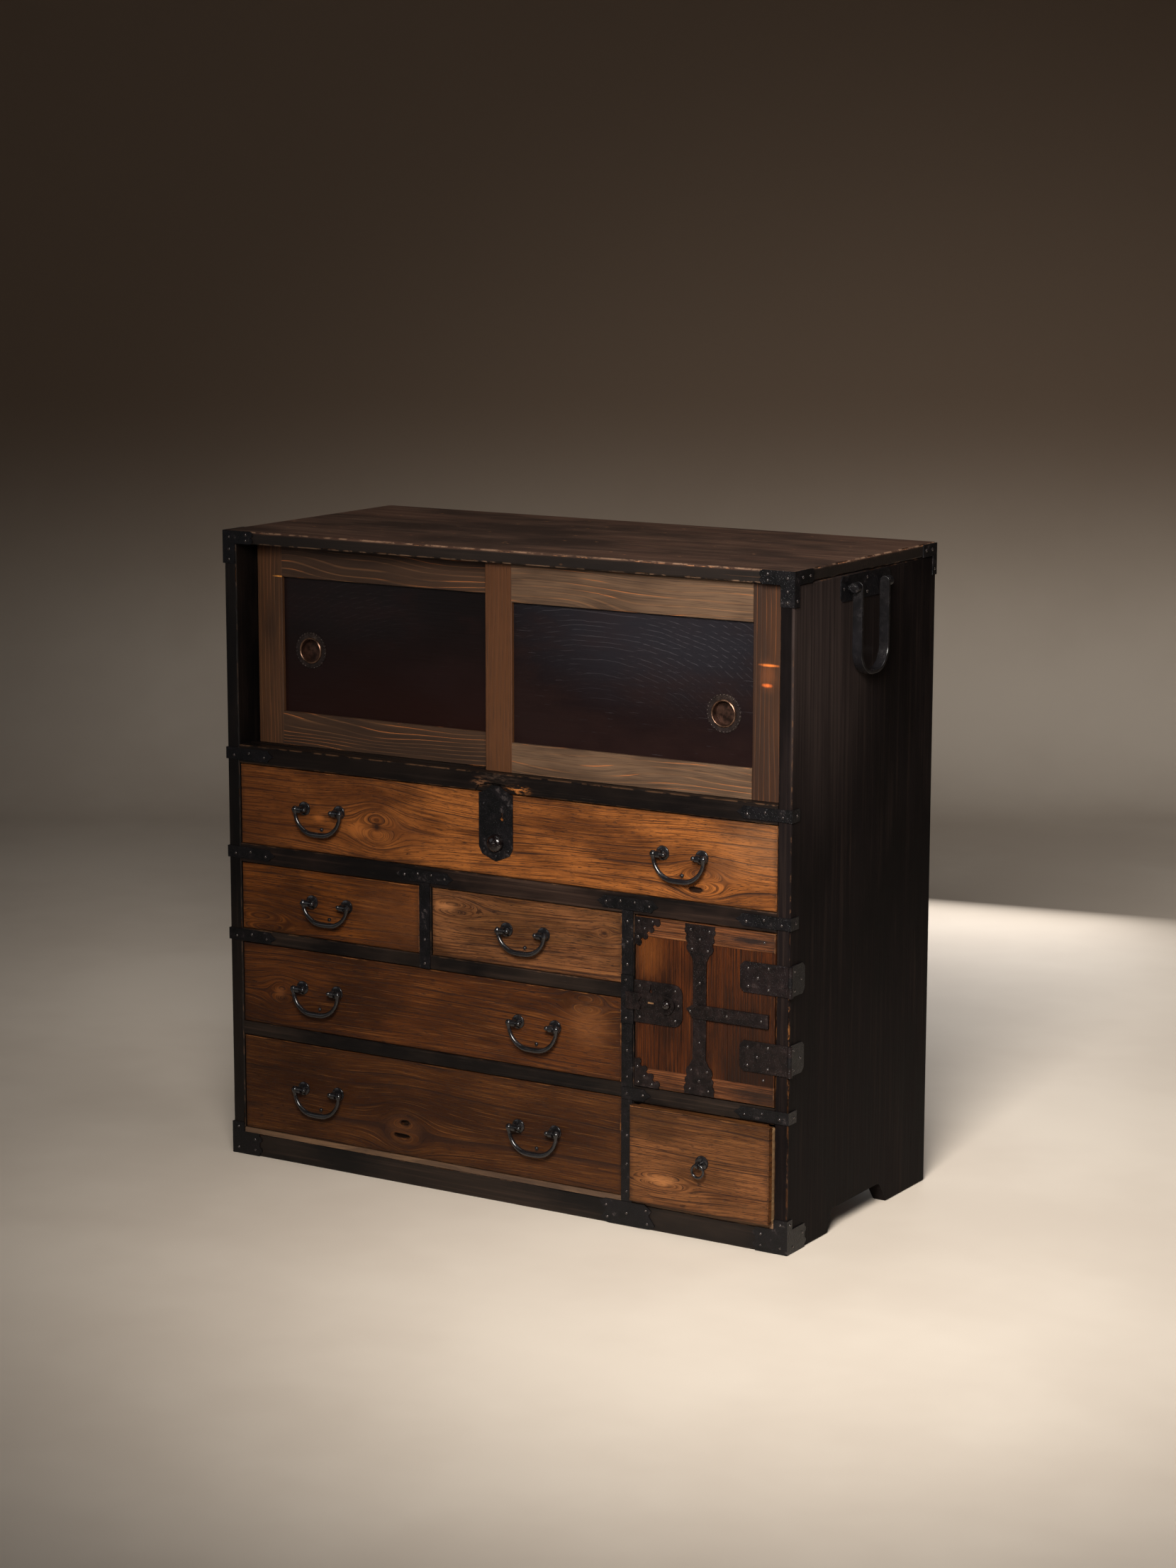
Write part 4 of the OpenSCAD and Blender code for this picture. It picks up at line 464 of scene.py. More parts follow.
def smooth(piece, degrees=30):
    choose(piece)
    bpy.ops.object.shade_smooth_by_angle(angle=math.radians(degrees))
    applyModifier(piece, "WEIGHTED_NORMAL", weight=60, keep_sharp=True)


def islands(mesh):
    # the separate solids of a mesh, each a list of vertex numbers
    owner = list(range(len(mesh.vertices)))

    def root(i):
        while owner[i] != i:
            owner[i] = owner[owner[i]]
            i = owner[i]
        return i
    for edge in mesh.edges:
        a, b = (root(v) for v in edge.vertices)
        owner[a] = b
    found = {}
    for i in range(len(owner)):
        found.setdefault(root(i), []).append(i)
    return list(found.values())


def corners(mesh, members):
    # the box round some of a mesh's vertices, mm
    points = [mesh.vertices[i].co for i in members]
    low = Vector([min(p[k] for p in points) for k in range(3)]) / mm
    high = Vector([max(p[k] for p in points) for k in range(3)]) / mm
    return low, high


def markBoards(piece, seed):
    # gives each board of a piece a number of its own, which its material reads
    chance = random.Random(seed)
    share = piece.data.attributes.new("board", "FLOAT", "POINT")
    for members in islands(piece.data):
        number = chance.random()
        for i in members:
            share.data[i].value = number


def paintByRun(piece, paints):
    # each board takes the material made for the way it runs: x, y or z
    names = list(paints)
    for name in names:
        piece.data.materials.append(paints[name])
    run = [0] * len(piece.data.vertices)
    for members in islands(piece.data):
        low, high = corners(piece.data, members)
        size = high - low
        longest = "xyz"[max(range(3), key=lambda k: size[k])]
        for i in members:
            run[i] = names.index(longest) if longest in names else 0
    for face in piece.data.polygons:
        face.material_index = run[face.vertices[0]]


def roundEdges(box, wear, keep):
    # rounds the kept edges over, and marks the narrow strips of faces that this makes
    bpy.ops.mesh.select_mode(type="EDGE")
    mesh = bmesh.from_edit_mesh(box.data)
    mesh.faces.layers.int.new("strip")
    mesh.edges.layers.int.new("cuts")
    mesh.verts.layers.float.new("chip")
    for edge in mesh.edges:
        edge.select = keep((edge.verts[0].co + edge.verts[1].co) / 2 / mm)
    bmesh.update_edit_mesh(box.data)
    bpy.ops.mesh.bevel(offset=wear["width"] * mm, segments=3, profile=0.5, clamp_overlap=False)
    mesh = bmesh.from_edit_mesh(box.data)
    strip = mesh.faces.layers.int["strip"]
    for face in mesh.faces:
        slim = min(edge.calc_length() for edge in face.edges) < wear["width"] * mm
        face[strip] = int(slim)


def cutStrips(box, step):
    # cuts the strips across at every step, the same number of times on both their sides
    mesh = bmesh.from_edit_mesh(box.data)
    strip = mesh.faces.layers.int["strip"]
    number = mesh.edges.layers.int["cuts"]
    for edge in mesh.edges:
        worn = any(face[strip] for face in edge.link_faces)
        cuts = round(edge.calc_length() / mm / step) - 1 if worn else 0
        edge[number] = max(0, cuts)
    for turn in range(4):
        # the greatest count goes from face to face across a strip
        for face in mesh.faces:
            if face[strip] and len(face.verts) == 4:
                ring = [loop.edge for loop in face.loops]
                for a, b in ((ring[0], ring[2]), (ring[1], ring[3])):
                    a[number] = b[number] = max(a[number], b[number])
    for cuts in sorted({edge[number] for edge in mesh.edges} - {0}):
        bpy.ops.mesh.select_all(action="DESELECT")
        mesh = bmesh.from_edit_mesh(box.data)
        number = mesh.edges.layers.int["cuts"]
        for edge in mesh.edges:
            if edge[number] == cuts:
                edge.select = True
        bmesh.update_edit_mesh(box.data)
        bpy.ops.mesh.subdivide(number_cuts=min(cuts, 100))
        mesh = bmesh.from_edit_mesh(box.data)
        number = mesh.edges.layers.int["cuts"]
        for edge in mesh.edges:
            if edge.select:
                edge[number] = 0
        bmesh.update_edit_mesh(box.data)


def dentStrips(box, wear):
    # pushes the strips in, a little everywhere and further where a chip is gone
    mesh = bmesh.from_edit_mesh(box.data)
    mesh.normal_update()
    strip = mesh.faces.layers.int["strip"]
    chipLayer = mesh.verts.layers.float["chip"]
    drift = Vector([wear["seed"] * stride for stride in (11.3, 5.7, 2.9)])
    moves = []
    for vert in mesh.verts:
        if not any(face[strip] for face in vert.link_faces):
            continue
        flats = {tuple(round(c) for c in face.normal) for face in vert.link_faces
                 if not face[strip]}
        if len(flats) > 1:
            continue
        place = vert.co / mm
        dent = 0.5 + 0.5 * noise.noise(place * wear["dentSize"] + drift)
        chip = noise.noise(place * wear["chipSize"] + drift * 2)
        chip = min(1, max(0, (chip - wear["chipStart"]) / wear["chipRise"]))
        push = -vert.normal * (dent * wear["dent"] + chip * wear["chip"]) * mm
        if flats:
            # it stays in the plane of the flat face beside it
            flat = Vector(next(iter(flats)))
            push -= flat * push.dot(flat)
        else:
            vert[chipLayer] = chip
        moves.append((vert, push))
    for vert, push in moves:
        vert.co += push
    bmesh.update_edit_mesh(box.data)


def wornBox(low, high, wear, keep):
    # a box whose kept edges are rounded over, then dented and chipped along their length
    bpy.ops.mesh.primitive_cube_add(size=1)
    box = bpy.context.object
    box.data.transform(Matrix.Translation((low + high) / 2 * mm)
                       @ Matrix.Diagonal(((high - low) * mm).to_4d()))
    bpy.ops.object.mode_set(mode="EDIT")
    roundEdges(box, wear, keep)
    # long strips are cut coarsely first, because Subdivide makes 100 cuts at the most
    for step in (wear["step"] * 40, wear["step"]):
        cutStrips(box, step)
    dentStrips(box, wear)
    bpy.ops.object.mode_set(mode="OBJECT")
    return box


def wearBoards(piece, wear, keep=lambda middle: True):
    # cuts each board of a piece to a worn box of the board's own size
    piece.data.attributes.new("chip", "FLOAT", "POINT")
    choose(piece)
    bpy.ops.object.mode_set(mode="EDIT")
    bpy.ops.mesh.select_all(action="SELECT")
    bpy.ops.mesh.separate(type="LOOSE")
    bpy.ops.object.mode_set(mode="OBJECT")
    boards = list(bpy.context.selected_objects)
    for board in boards:
        low, high = corners(board.data, range(len(board.data.vertices)))
        box = wornBox(low, high, wear, keep)
        applyModifier(board, "BOOLEAN", operation="INTERSECT", solver="MANIFOLD", object=box)
        bpy.data.objects.remove(box)
    choose(piece, *boards)
    if len(boards) > 1:
        bpy.ops.object.join()
    piece.data.materials.clear()
    for face in piece.data.polygons:
        face.material_index = 0


def fit(piece, node):
    # the piece stands for its CAD node and moves with the node's body
    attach(piece, bodyOf[node])
    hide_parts(node)


def give(node, material):
    # the CAD node is good as it is and only takes a material
    shown = frame["nodes"][node]
    shown.data.materials.clear()
    shown.data.materials.append(material)


def boxOf(node):
    # the box of a CAD node, mm
    low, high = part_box(node)
    return tuple(low / mm), tuple(high / mm)


def frontEdges(node):
    # keeps the edges in the front face of a node
    front = boxOf(node)[0][1]
    return lambda middle: middle.y < front + faceReach


print("carcass boards")

# how an edge is worn: its rounding, the step along it, how deep its dents and chips are, how
# many waves a millimetre they have, and where in its noise a chip starts and is whole
softWear = {"width": 1.2, "step": 5, "dent": 0.5, "dentSize": 0.045, "chip": 1,
            "chipSize": 0.035, "chipStart": 0.3, "chipRise": 0.22, "seed": 1}
carcass = {
    "side_panel_left": {"grain": "zyx", "seed": 1, "streakShare": 0.5},
    "side_panel_right": {
        "grain": "zyx", "seed": 2, "black": tone(9, 6, 6), "brown": tone(17, 12, 12),
        "streak": tone(37, 28, 24), "streakShare": 0.6, "scuffShare": 0.2, "rubWidth": 2,
        "rough": 0.6, "gloss": 0.06,
        # a greyish sheen of painted reflection over the upper front of the outer face
        "paintedSheen": ((790, -120, 230, 170), tone(58, 48, 45), 0.8),
        "bares": [((290, -184, 80, 3), tone(132, 84, 42), 0.6),
                  ((110, -184, 80, 3), tone(84, 52, 28), 0.5),
                  ((20, 192, 34, 24), tone(120, 82, 54), 0.8),
                  ((120, 213, 110, 5), tone(132, 84, 48), 0.6)]},
    "top_board": {
        "grain": "xyz", "slot": "top_wood", "seed": 3, "black": tone(41, 29, 24),
        "brown": tone(67, 46, 36), "streak": tone(99, 77, 62), "streakShare": 0.7,
        "worn": tone(140, 110, 88), "raw": tone(178, 124, 86), "scuffShare": 0.6,
        "scuff": tone(128, 108, 92), "rough": 0.5, "rim": tone(20, 17, 15),
        "rubWidth": 2.6, "rubStart": 0.46, "chipShare": 0.8, "nicks": 0.7},
    "sill_rail": {
        "seed": 4, "rubWidth": 2.2, "rubStart": 0.44, "gloss": 0.14,
        "marks": [((-24, 581, 17, 9), tone(92, 62, 42), 0.9),
                  ((4, 588, 34, 8), tone(52, 40, 33), 0.8),
                  ((33, 575, 24, 7), tone(150, 92, 46), 0.9)]},
    "upper_rail": {"seed": 5, "brown": tone(34, 23, 18), "streak": tone(57, 42, 34),
                   "streakShare": 0.75, "rubStart": 0.52},
    "drawer_rails": {"seed": 6, "brown": tone(31, 23, 18), "streak": tone(54, 41, 34),
                     "streakShare": 0.7, "rubStart": 0.52},
    "plinth_rail": {"seed": 7, "brown": tone(30, 22, 17), "streak": tone(50, 37, 30),
                    "streakShare": 0.6},
    "main_divider": {"grain": "zxy", "seed": 8, "chipShare": 0.15},
    "small_divider": {"grain": "zxy", "seed": 9},
}
heavyWear = {"top_board": {"width": 2.2, "step": 4, "dent": 0.9, "chip": 2.4, "chipStart": 0.16},
             "side_panel_right": {"width": 1.8, "chip": 1.8, "chipStart": 0.22},
             "side_panel_left": {"width": 1.8, "chip": 1.6},
             "plinth_rail": {"width": 1.6, "chip": 1.6},
             "sill_rail": {"width": 1.4, "chip": 1.4, "step": 4}}

for node, look in carcass.items():
    piece = benchCopy(node, node + "_worn")
    wear = {**softWear, **heavyWear.get(node, {}), "seed": look["seed"]}
    wearBoards(piece, wear)
    smooth(piece)
    piece.data.materials.append(
        caseLacquer(node + "_finish", {**blackLacquer, **look, "box": boxOf(node)}))
    fit(piece, node)

insideWood = {"pale": tone(150, 118, 82), "deep": tone(112, 84, 58), "line": tone(92, 64, 42),
              "fibre": tone(80, 58, 40), "spacing": 11, "bend": 80, "boardStep": 90,
              "rough": 0.72, "gloss": 0.3, "seed": 21, "grain": "xzy"}
backWood = {**insideWood, "pale": tone(112, 84, 60), "deep": tone(74, 55, 41),
            "line": tone(56, 40, 30), "fibre": tone(48, 36, 28), "seed": 22}
rawX = rawBoards("raw_along_x", {**insideWood, "grain": "xyz"})
rawY = rawBoards("raw_along_y", {**insideWood, "grain": "yzx", "seed": 23})
backPaint = rawBoards("back_boards_finish", backWood)
darkInside = rawBoards("inside_boards", {**backWood, "grain": "xyz", "seed": 24})

backs = benchCopy("back_boards", "back_boards_planed")
backY = boxOf("back_boards")[1][1]
wearBoards(backs, {**softWear, "width": 0.9, "seed": 12},
           lambda middle: middle.y > backY - faceReach)
markBoards(backs, 5)
smooth(backs)
backs.data.materials.append(backPaint)
fit(backs, "back_boards")
for node in ("bottom_board", "dust_boards"):
    give(node, darkInside)


print("drawers")

# a knot: its middle, its reach, how slim it is and the size of its dark core
# a mark: an oval, its shade and its strength
drawers = {
    "long_drawer": {
        "seed": 31, "spacing": 14, "wander": 50,
        "knots": [(-196, 501, 26, 0.75, 5), (318, 484, 24, 0.6, 0)],
        # the first mark darkens the left end of the front: painted shade, for the light that falls off towards the
        # left
        "marks": [((-430, 511, 320, 130), tone(62, 30, 10), 0.6),
                  ((-295, 503.5, 12, 6.5), tone(176, 104, 48), 0.4),
                  ((-229, 495, 20, 14), tone(160, 94, 42), 0.45),
                  ((-196, 501, 3.4, 3.4), tone(22, 12, 8), 0.95),
                  ((309, 471, 13, 4.5), tone(24, 14, 10), 0.95),
                  ((-150, 498, 60, 24), tone(88, 48, 22), 0.45),
                  ((350, 496, 34, 22), tone(96, 58, 32), 0.45),
                  ((425, 540, 110, 60), tone(140, 100, 70), 0.25)]},
    "small_left_drawer": {
        "seed": 32, "pale": tone(101, 54, 16), "deep": tone(51, 25, 6),
        "spacing": 13, "knots": [(-395, 345, 22, 0.35, 0)],
        "marks": [((-150, 380, 110, 60), tone(116, 68, 35), 0.3)]},
    "small_right_drawer": {
        "seed": 33, "pale": tone(109, 69, 40), "deep": tone(67, 41, 20),
        "spacing": 19, "lineStrength": 0.7,
        "knots": [(-70, 402, 14, 0.3, 0), (170, 396, 8, 0.6, 2.4)],
        "marks": [((-84, 402, 22, 7), tone(164, 108, 66), 0.6)]},
    "middle_drawer": {
        "seed": 34, "pale": tone(78, 41, 14), "deep": tone(43, 20, 5),
        "spacing": 10, "wander": 34,
        "knots": [(-362, 245, 20, 0.7, 4), (142, 296, 20, 0.5, 3)],
        "marks": [((146, 268, 44, 40), tone(140, 86, 46), 0.3),
                  ((-366, 246, 12, 8), tone(150, 90, 44), 0.35)]},
    "bottom_drawer": {
        "seed": 35, "pale": tone(69, 38, 13), "deep": tone(42, 20, 5),
        "spacing": 18, "wander": 60, "lineStrength": 0.8,
        "knots": [(-156, 76, 30, 0.7, 0)],
        "marks": [((-156, 78, 34, 26), tone(104, 62, 32), 0.25),
                  ((-153, 87.5, 9.5, 4.6), tone(30, 17, 10), 0.95),
                  ((-158, 68.5, 14.5, 3.4), tone(20, 11, 7), 0.95)]},
    "ring_drawer": {
        "seed": 36, "pale": tone(109, 68, 37), "deep": tone(67, 40, 18),
        "spacing": 14, "wander": 50,
        "knots": [(268, 76, 15, 0.28, 0)],
        "marks": [((268, 76, 26, 9), tone(176, 116, 68), 0.5)]},
}
carvedSlots = {"bottom_drawer": [(-153, 87.5, 14, 6.5), (-158, 68.5, 26, 5)],
               "long_drawer": [(309, 471, 20, 6.5)]}
carving = {"sides": 24, "depth": 5, "sway": 0.6, "swayPitch": 0.4}


def carveSlot(piece, faceY, slot):
    # a worn hollow with round ends, cut into the front along a slightly swaying line
    x, z, length, height = slot
    bpy.ops.mesh.primitive_cylinder_add(
        vertices=carving["sides"], radius=height / 2 * mm, depth=2 * carving["depth"] * mm,
        location=(x * mm, faceY * mm, z * mm), rotation=(math.pi / 2, 0, 0))
    cutter = bpy.context.object
    bpy.ops.object.transform_apply(location=True, rotation=True, scale=True)
    for vert in cutter.data.vertices:
        side = 1 if vert.co.x > x * mm else -1
        vert.co.x += side * (length - height) / 2 * mm
        sway = math.sin((vert.co.x / mm - x) * carving["swayPitch"])
        vert.co.z += carving["sway"] * mm * sway
    applyModifier(piece, "BOOLEAN", operation="DIFFERENCE", solver="MANIFOLD", object=cutter)
    bpy.data.objects.remove(cutter)


for drawer, look in drawers.items():
    node = drawer + "_front"
    low, high = boxOf(node)
    piece = benchCopy(node, node + "_worn")
    for slot in carvedSlots.get(drawer, ()):
        carveSlot(piece, low[1], slot)
    wear = {**softWear, "width": 1.4, "dent": 0.7, "chip": 1.3, "chipSize": 0.03,
            "seed": look["seed"]}
    wearBoards(piece, wear, frontEdges(node))
    smooth(piece)
    piece.data.materials.append(
        drawerWood(node + "_finish", {**goldenWood, "grain": "xzy", "box": (low, high), **look}))
    fit(piece, node)
    box = benchCopy(drawer + "_box", drawer + "_box_planed")
    markBoards(box, look["seed"])
    paintByRun(box, {"x": rawX, "y": rawY})
    applyModifier(box, "BEVEL", width=0.5 * mm, segments=2, limit_method="ANGLE")
    smooth(box)
    fit(box, drawer + "_box")


print("sliding doors")

frameWood = {"fibre": tone(40, 27, 19), "line": tone(128, 88, 56), "orange": tone(168, 98, 50),
             "spacing": 7.5, "bend": 52, "boardStep": 40, "flare": 0.8, "rough": 0.55,
             "gloss": 0.3, "grain": "xzy"}
panelFinish = {"arcPitch": 11, "arcShare": 0.24, "scratchShare": 0.3}
stileWood = {"spacing": 7, "bend": 22, "flare": 0.3, "grain": "zxy"}
doors = {
    "left_door": {
        # the left door's rails and stiles are given darker tones: painted shade, for the light that falls off towards
        # the left
        "seed": 41, "rails": {"pale": tone(60, 40, 26), "deep": tone(42, 27, 17)},
        "stiles": {"pale": tone(72, 45, 26), "deep": tone(50, 31, 18), "line": tone(112, 76, 48),
                   "marks": [((831, -382, 1.4, 12), tone(214, 140, 60), 0.9),
                             ((720, 0, 420, 60), tone(88, 56, 33), 0.8)]},
        "panel": {"black": tone(12, 8, 8), "brown": tone(23, 12, 11), "red": tone(30, 11, 7),
                  "blue": tone(22, 18, 19), "arc": tone(58, 50, 50), "redShare": 0.6,
                  # the oval and strength of a bluish painted reflection near the panel's top
                  "paintedReflection": (-270, 800, 150, 60), "reflectionShare": 0.4,
                  "arcs": (-120, 640), "rough": 0.34, "gloss": 0.2, "seed": 43}},
    "right_door": {
        "seed": 42, "rails": {"pale": tone(91, 69, 51), "deep": tone(66, 48, 34)},
        "stiles": {"pale": tone(53, 28, 9), "deep": tone(37, 18, 6), "line": tone(88, 52, 25),
                   "marks": [((771, 408, 2.4, 15), tone(226, 120, 48), 0.9),
                             ((745, 405, 3, 8), tone(222, 104, 40), 0.9),
                             ((758, 406, 24, 14), tone(120, 66, 32), 0.35),
                             ((720, 0, 420, 60), tone(78, 46, 23), 0.8)]},
        "panel": {"black": tone(12, 9, 11), "brown": tone(25, 15, 14), "red": tone(27, 11, 8),
                  "blue": tone(32, 31, 36), "arc": tone(92, 88, 92), "redShare": 0.4,
                  # the oval and strength of a bluish painted reflection near the panel's top
                  "paintedReflection": (240, 810, 230, 105), "reflectionShare": 0.65,
                  "arcs": (150, 640), "rough": 0.32, "gloss": 0.22, "seed": 44}},
}
for door, look in doors.items():
    piece = benchCopy(door + "_frame", door + "_frame_planed")
    wear = {**softWear, "width": 0.9, "dent": 0.3, "chip": 0.6, "step": 6, "seed": look["seed"]}
    wearBoards(piece, wear, frontEdges(door + "_frame"))
    markBoards(piece, look["seed"])
    stiles = softWood(door + "_stiles", {**frameWood, **stileWood, **look["stiles"],
                                         "seed": look["seed"]})
    rails = softWood(door + "_rails", {**frameWood, **look["rails"], "seed": look["seed"] + 7})
    paintByRun(piece, {"z": stiles, "x": rails})
    smooth(piece)
    fit(piece, door + "_frame")
    panel = benchCopy(door + "_panel", door + "_panel_lacquered")
    panelLook = {**panelFinish, **look["panel"], "box": boxOf(door + "_panel")}
    panel.data.materials.append(panelLacquer(door + "_panel_finish", panelLook))
    smooth(panel)
    fit(panel, door + "_panel")


print("safe door")

safeLook = {"pale": tone(71, 32, 8), "deep": tone(38, 15, 4), "fibre": tone(20, 7, 2),
            "line": tone(21, 9, 4), "pore": tone(32, 16, 10), "grime": tone(24, 14, 9),
            "rub": tone(106, 61, 28), "raw": tone(120, 74, 40), "spacing": 5, "wander": 12,
            "rough": 0.5, "lineStrength": 0.8, "poreStrength": 0.5, "gloss": 0.14,
            "grain": "zxy", "seed": 51,
            "marks": [((225, 400, 70, 60), tone(20, 10, 6), 0.6),
                      ((345, 232, 30, 1), tone(22, 12, 8), 0.8),
                      ((270, 385, 150, 92), tone(26, 14, 8), 0.7),
                      ((380, 240, 44, 30), tone(118, 66, 26), 0.35)]}
battenLook = {**goldenWood, "pale": tone(102, 59, 32), "deep": tone(50, 26, 11),
              "fibre": tone(30, 13, 5), "line": tone(26, 12, 6), "spacing": 3.2, "wander": 9,
              "rub": tone(143, 100, 61), "poreStrength": 0.2, "grain": "xzy", "seed": 52,
              "marks": [((392, 413, 62, 8), tone(24, 18, 17), 0.95),
                        ((404, 207, 60, 16), tone(26, 16, 11), 0.9)]}
for node, look in (("safe_door_panel", safeLook), ("safe_door_battens", battenLook)):
    piece = benchCopy(node, node + "_worn")
    wear = {**softWear, "width": 0.9, "chip": 0.9, "step": 4, "seed": look["seed"]}
    wearBoards(piece, wear, frontEdges(node))
    smooth(piece)
    piece.data.materials.append(drawerWood(node + "_finish", {**look, "box": boxOf(node)}))
    fit(piece, node)


print("ironwork")

plateIron = {"black": tone(11, 7, 7), "brown": tone(25, 16, 15), "purple": tone(26, 18, 20),
             "rubbed": tone(58, 47, 45), "pit": tone(7, 5, 6), "rough": 0.42, "metal": 0.25,
             "depth": 0.5, "gloss": 0.3, "coat": 0, "coatRough": 0.12, "seed": 61}
ironLooks = {
    "case_iron": {"black": tone(7, 7, 8), "brown": tone(15, 12, 14), "purple": tone(15, 13, 17),
                  "rubbed": tone(76, 68, 67)},
    "safe_iron": {},
    "nail_iron": {"black": tone(44, 38, 38), "brown": tone(62, 54, 52),
                  "purple": tone(54, 48, 50), "rubbed": tone(112, 102, 97), "rough": 0.24,
                  "metal": 0.6, "depth": 0.05, "coat": 0.8, "seed": 64},
    "bail_iron": {"black": tone(20, 19, 20), "brown": tone(30, 28, 29),
                  "purple": tone(28, 27, 31), "rubbed": tone(60, 56, 56), "rough": 0.24,
                  "metal": 0.3, "depth": 0.05, "coat": 0.6, "seed": 65},
    "button_iron": {"rough": 0.26, "metal": 0.5, "depth": 0.7, "coat": 0.7, "seed": 66},
    "washer_metal": {"black": tone(44, 37, 35), "brown": tone(62, 51, 47),
                     "purple": tone(58, 49, 50), "rubbed": tone(110, 96, 88), "rough": 0.34,
                     "metal": 0.7, "depth": 0.15, "seed": 71},
}
bronzeLooks = {
    "bronze_ring": {"dark": tone(84, 62, 50), "warm": tone(130, 100, 82), "rough": 0.34,
                    "metal": 0.9, "seed": 67},
    "bronze_cup": {"dark": tone(44, 31, 26), "warm": tone(80, 56, 46), "rough": 0.42,
                   "metal": 0.8, "seed": 69},
    "brass_bar": {"dark": tone(150, 110, 76), "warm": tone(196, 150, 108), "rough": 0.4,
                  "metal": 0.8, "seed": 68},
}
metals = {name: forgedIron(name, {**plateIron, **look}) for name, look in ironLooks.items()}
for name, look in bronzeLooks.items():
    metals[name] = castBronze(name, look)

# each iron's finish, and how far its edges are eased
irons = {
    "carcass_irons": ("case_iron", 0.45), "side_irons": ("case_iron", 0.45),
    "safe_door_irons": ("safe_iron", 0.4), "safe_lock_plate": ("safe_iron", 0.45),
    "long_drawer_lock_plate": ("case_iron", 0.5), "side_handle_left": ("bail_iron", 1.1),
    "side_handle_right": ("bail_iron", 1.1), "safe_lock_button": ("button_iron", 0.2),
    "long_drawer_lock_button": ("button_iron", 0.2),
}
for drawer in drawers:
    irons[drawer + ("_post" if drawer == "ring_drawer" else "_posts")] = ("bail_iron", 0.4)
for node, (finish, bevel) in irons.items():
    piece = benchCopy(node, node + "_forged")
    applyModifier(piece, "BEVEL", width=bevel * mm, segments=2, limit_method="ANGLE",
                  angle_limit=math.radians(38), use_clamp_overlap=True)
    smooth(piece, 40)
    piece.data.materials.append(metals[finish])
    fit(piece, node)
for node in ("safe_lock_bolt", "long_drawer_lock_bolt"):
    give(node, metals["safe_iron"])
give("ring_drawer_ring", metals["bail_iron"])


nailShape = {"radius": 2.15, "height": 1.35, "shank": 0.9, "length": 9, "sides": 10,
             "rings": 6, "lean": 6, "smallest": 0.88, "largest": 1.08, "spin": 6.28}


def forgeNail():
    # one nail, its head up along +Z with the underside of the head at the origin
    bpy.ops.mesh.primitive_uv_sphere_add(segments=nailShape["sides"], ring_count=nailShape["rings"],
                                         radius=nailShape["radius"] * mm)
    nail = bpy.context.object
    bpy.ops.object.mode_set(mode="EDIT")
    bpy.ops.mesh.select_all(action="SELECT")
    bpy.ops.mesh.bisect(plane_co=(0, 0, 0), plane_no=(0, 0, -1), clear_outer=True, use_fill=True)
    mesh = bmesh.from_edit_mesh(nail.data)
    flat = nailShape["height"] / nailShape["radius"]
    for vert in mesh.verts:
        vert.co.z *= flat
    under = min(mesh.faces, key=lambda face: face.calc_center_median().z)
    for face in mesh.faces:
        face.select = face == under
    bmesh.update_edit_mesh(nail.data)
    bpy.ops.mesh.inset(thickness=(nailShape["radius"] - nailShape["shank"]) * mm)
    bpy.ops.mesh.extrude_region_move(
        TRANSFORM_OT_translate={"value": (0, 0, -nailShape["length"] * mm)})
    bpy.ops.object.mode_set(mode="OBJECT")
    bpy.ops.object.shade_smooth_by_angle(angle=math.radians(50))
    return nail


def driveNails(node, name, skipLargest=False):
    # a forged nail wherever the CAD node has one, each a little different
    chance = random.Random(len(name))
    mesh = benchCopy(node, name + "_places")
    solids = sorted(islands(mesh.data), key=len)
    boxes = [corners(mesh.data, members) for members in solids]
    bpy.data.objects.remove(mesh)
    if skipLargest:
        boxes.sort(key=lambda box: (box[1] - box[0]).length)
        boxes.pop()
    master = forgeNail()
    made = []
    for low, high in boxes:
        middle = (low + high) / 2
        size = high - low
        nail = master.copy()
        nail.data = master.data.copy()
        bpy.context.scene.collection.objects.link(nail)
        if size.y > size.x:
            place = Vector((middle.x, low.y + nailShape["height"], middle.z))
            turn = Matrix.Rotation(math.pi / 2, 4, "X")
        else:
            side = 1 if middle.x > 0 else -1
            outer = high.x if side > 0 else low.x
            place = Vector((outer - side * nailShape["height"], middle.y, middle.z))
            turn = Matrix.Rotation(side * math.pi / 2, 4, "Y")
        lean = math.radians(chance.uniform(-nailShape["lean"], nailShape["lean"]))
        grow = chance.uniform(nailShape["smallest"], nailShape["largest"])
        spin = chance.uniform(0, nailShape["spin"])
        nail.data.transform(Matrix.Translation(place * mm) @ turn @ Matrix.Rotation(lean, 4, "X")
                            @ Matrix.Scale(grow, 4) @ Matrix.Rotation(spin, 4, "Z"))
        made.append(nail)
    bpy.data.objects.remove(master)
    choose(*made)
    bpy.ops.object.join()
    piece = bpy.context.object
    piece.name = name
    piece.data.materials.clear()
    piece.data.materials.append(metals["nail_iron"])
    return piece


brassBar = {"x": 244, "front": -188.2, "z": 311.5, "length": 9, "depth": 1.6, "height": 2.2}


def setBrassBar():
    # the small bar let in under the safe's keyhole
    x, front, z = (brassBar[key] for key in ("x", "front", "z"))
    length, depth, height = (brassBar[key] for key in ("length", "depth", "height"))
    low = Vector((x - length / 2, front, z - height / 2))
    high = Vector((x + length / 2, front + depth, z + height / 2))
    wear = {**softWear, "width": 0.5, "step": 1.5, "dent": 0.2, "chip": 0}
    piece = wornBox(low, high, wear, lambda middle: middle.y < front + faceReach)
    piece.name = "safe_keyhole_bar"
    smooth(piece, 40)
    piece.data.materials.append(metals["brass_bar"])
    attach(piece, bodyOf["safe_lock_plate"])


setBrassBar()
fit(driveNails("carcass_nails", "carcass_nails_forged"), "carcass_nails")
fit(driveNails("safe_door_nails", "safe_door_nails_forged"), "safe_door_nails")
lockNails = driveNails("long_drawer_lock_plate", "lock_plate_nails", True)
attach(lockNails, bodyOf["long_drawer_lock_plate"])


